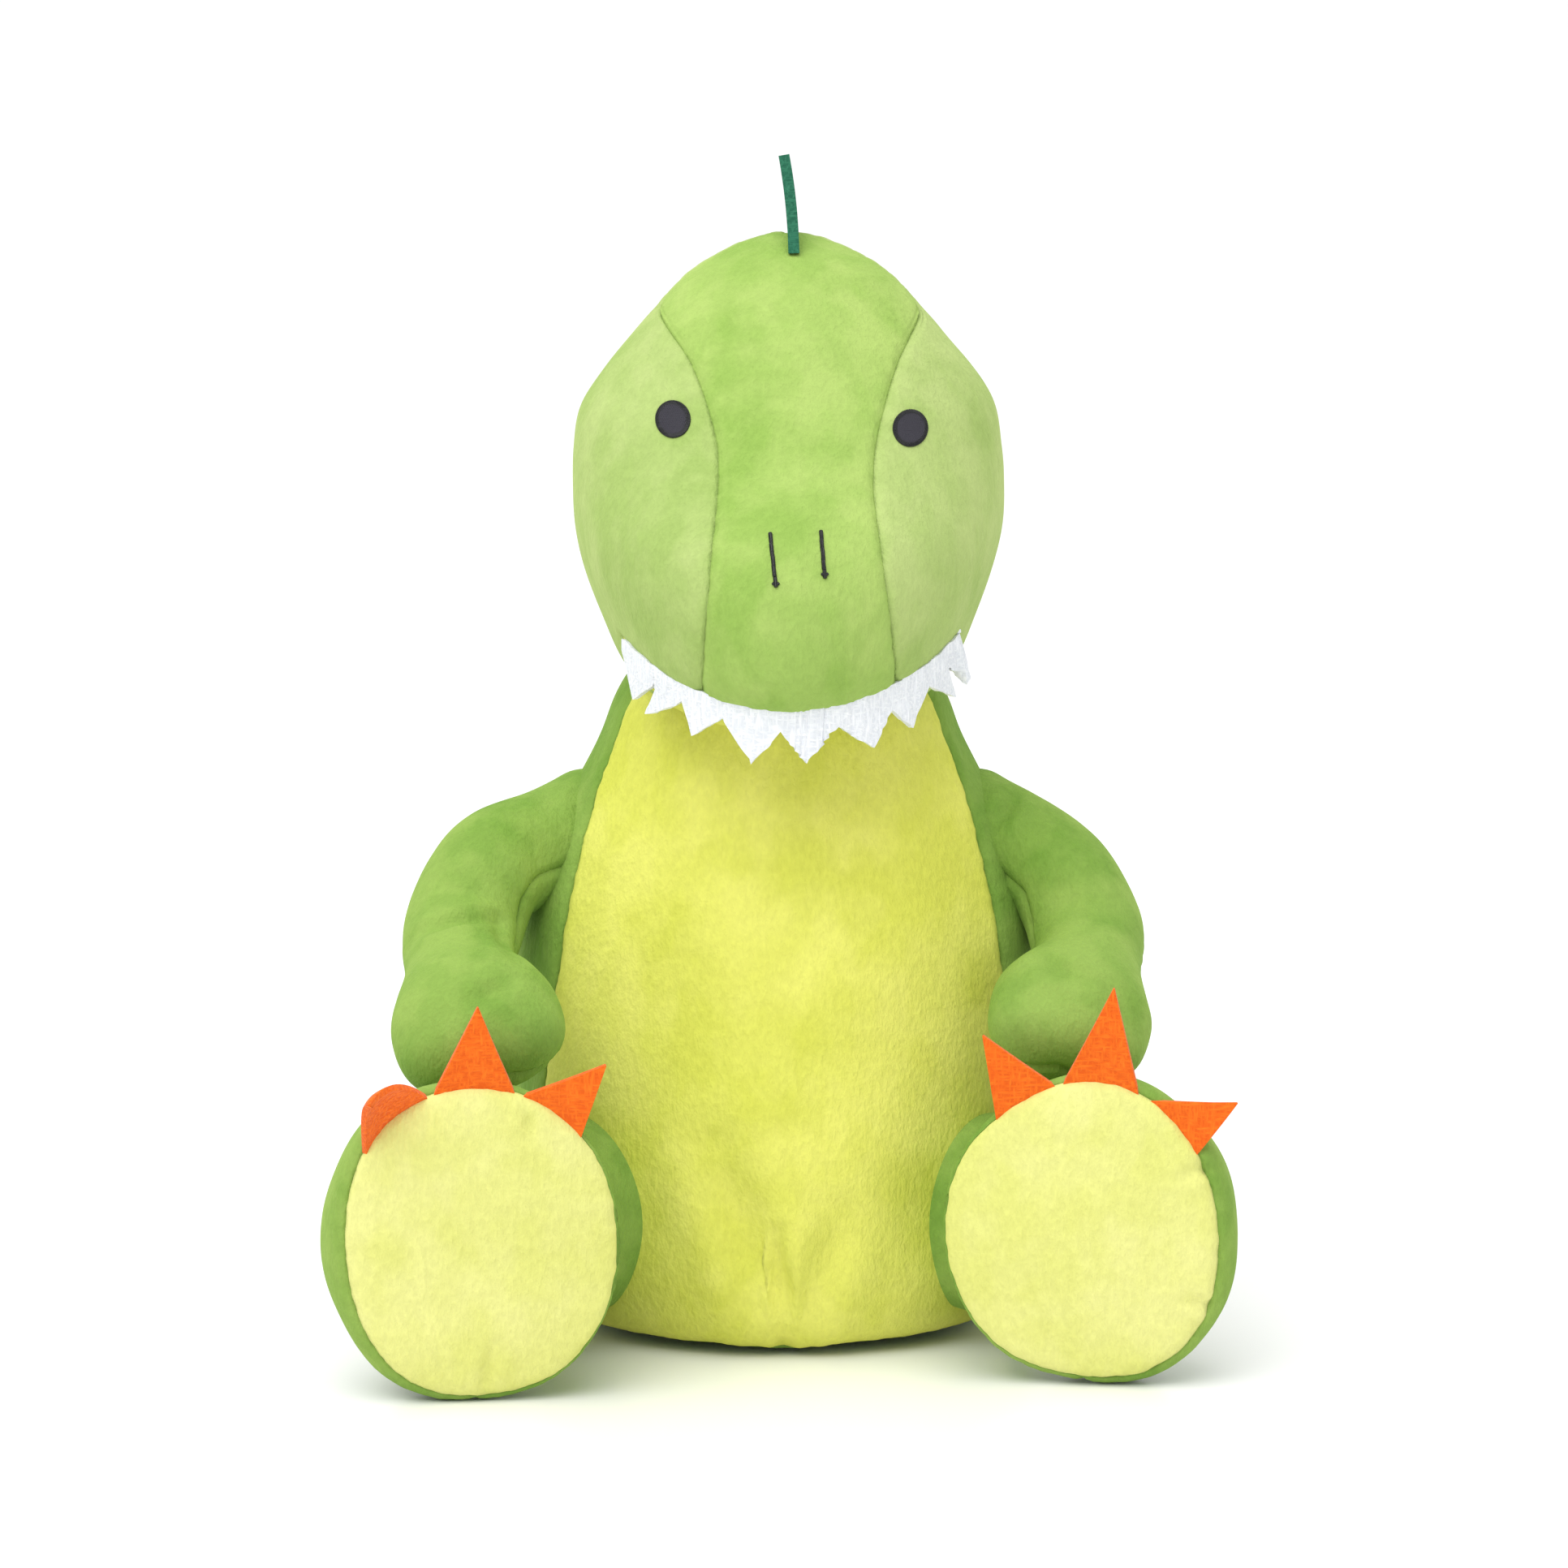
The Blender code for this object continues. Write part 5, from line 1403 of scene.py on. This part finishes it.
# %% Claws
# Two ends of each base and its tip as seen from the front (across and height), then how far
# the tip stands in front of the sole's seam.
CLAWS = {
    "right": [((-0.0630, 0.0797), (-0.0452, 0.0680), (-0.0423, 0.0840), 0.0020),
              ((-0.0856, 0.0772), (-0.0634, 0.0786), (-0.0733, 0.0990), 0.0030),
              ((-0.1035, 0.0630), (-0.0858, 0.0778), (-0.0985, 0.0770), 0.0150)],
    "left": [((0.0532, 0.0652), (0.0682, 0.0770), (0.0495, 0.0882), 0.0010),
             ((0.0684, 0.0772), (0.0892, 0.0745), (0.0815, 0.1010), 0.0040),
             ((0.0900, 0.0755), (0.1025, 0.0585), (0.1122, 0.0722), 0.0020)],
}
CLAW_TUCK = 0.0012           # how far a base runs in behind the sole
BENT = 0.01                  # a tip further forward than this belongs to the bent claw
PLAIN_CURL = (0.0, -0.0008, 0.0)
BENT_CURL = (-0.0008, -0.0010, 0.0042)


def sole_seam(form):
    """Seam of a sole as points sorted round its middle, with their angles."""
    owners = {}
    for face in form.data.polygons:
        for vertex in face.vertices:
            owners.setdefault(vertex, set()).add(face.material_index)
    points = get_points(form)
    ring = np.array([points[number] for number, found in owners.items()
                     if 2 in found and len(found) > 1])
    middle = ring.mean(axis=0)
    angles = np.arctan2(ring[:, 2] - middle[2], ring[:, 0] - middle[0])
    order = np.argsort(angles)
    return ring[order], angles[order], middle


for side in SIDES:
    ring, angles, middle = sole_seam(leg_forms[side])
    for number, (first, last, tip, forward) in enumerate(CLAWS[side], start=1):
        start, stop = (math.atan2(end[1] - middle[2], end[0] - middle[0])
                       for end in (first, last))
        base = []
        for share in np.linspace(0, 1, 9):
            turn = start + (stop - start) * share
            spot = np.array([np.interp(turn, angles, ring[:, axis]) for axis in range(3)])
            inward = unit(middle - spot)
            base.append(spot + inward * CLAW_TUCK + np.array((0, 0.0006, 0)))
        seam_y = float(np.interp((start + stop) / 2, angles, ring[:, 1]))
        point = (tip[0], seam_y - forward, tip[1])
        curl = PLAIN_CURL if forward < BENT else BENT_CURL
        claw = felt_triangle(base, point, curl)
        finish_piece(claw, f"claw_{side}_{number}", FELT_ORANGE, f"leg_{side}", "felt_orange",
                     f"leg_{side}_claw_{number}")

# %% Crest
# Node that each spike stands for, its body, how far it leans back from upright in degrees,
# and its size.
SPIKES = [
    ("spike_head_top", "head", 0.0, 1.0), ("spike_head_back", "head", 42.0, 1.0),
    ("spike_head_nape", "head", 84.0, 1.0), ("spike_back_1", "torso", 78.0, 0.95),
    ("spike_back_2", "torso", 86.0, 0.95), ("spike_tail_1", "tail", 12.0, 0.75),
    ("spike_tail_2", "tail", 12.0, 0.6), ("spike_tail_3", "tail", 12.0, 0.45),
]
SPIKE_BASE = 0.024
SPIKE_HEIGHT = 0.0195
SPIKE_SINK = 0.0050
POINT_SHARE = 0.92           # where a leaning spike's point lies in its node's box
BASE_SHARE = 0.62            # half of the base, grown for the part inside the seam
CREST_FELT = 0.0028          # two stitched layers of felt, made as one
CURL = 0.0005
LEAN = 0.0013                # sideways lean of a spike

for name, body, degrees, size in SPIKES:
    low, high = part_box(name)
    turn = math.radians(degrees)
    upward = Vector((0, math.sin(turn), math.cos(turn)))
    along = Vector((0, math.cos(turn), -math.sin(turn)))
    across = HEAD_SHIFT if body == "head" else 0.0
    # The node's far corner along its own upward direction is the spike's point.
    corners = [Vector((0, y, z)) for y in (low.y, high.y) for z in (low.z, high.z)]
    middle = Vector((0, (low.y + high.y) / 2, (low.z + high.z) / 2))
    reach = max((corner - middle).dot(upward) for corner in corners)
    if degrees == 0.0:
        point = Vector((0, middle.y, high.z))
    else:
        point = middle + upward * reach * POINT_SHARE
    base_middle = point - upward * (SPIKE_HEIGHT * size + SPIKE_SINK)
    half = along * SPIKE_BASE * size * BASE_SHARE
    foot_point = base_middle + Vector((across + LEAN, 0, 0))
    base = [foot_point - half, foot_point, foot_point + half]
    tip = point + Vector((across - LEAN, 0, 0))
    spike = felt_triangle(base, tip, (CURL, 0, 0), CREST_FELT)
    finish_piece(spike, f"felt_{name}", FELT_GREEN, body, "felt_dark_green", name)

# %% [markdown]
# ## Neck plug
# The head turns on a plug of stuffing that is hidden between torso and head.

# %% Neck plug
plug = frame["nodes"]["neck_stuffing"]
plug.data.materials.clear()
plug.data.materials.append(FIBRE)

# %% Clear away the working forms
for form in (torso, head, tail, *leg_forms.values(), *arm_forms.values()):
    bpy.data.objects.remove(form)
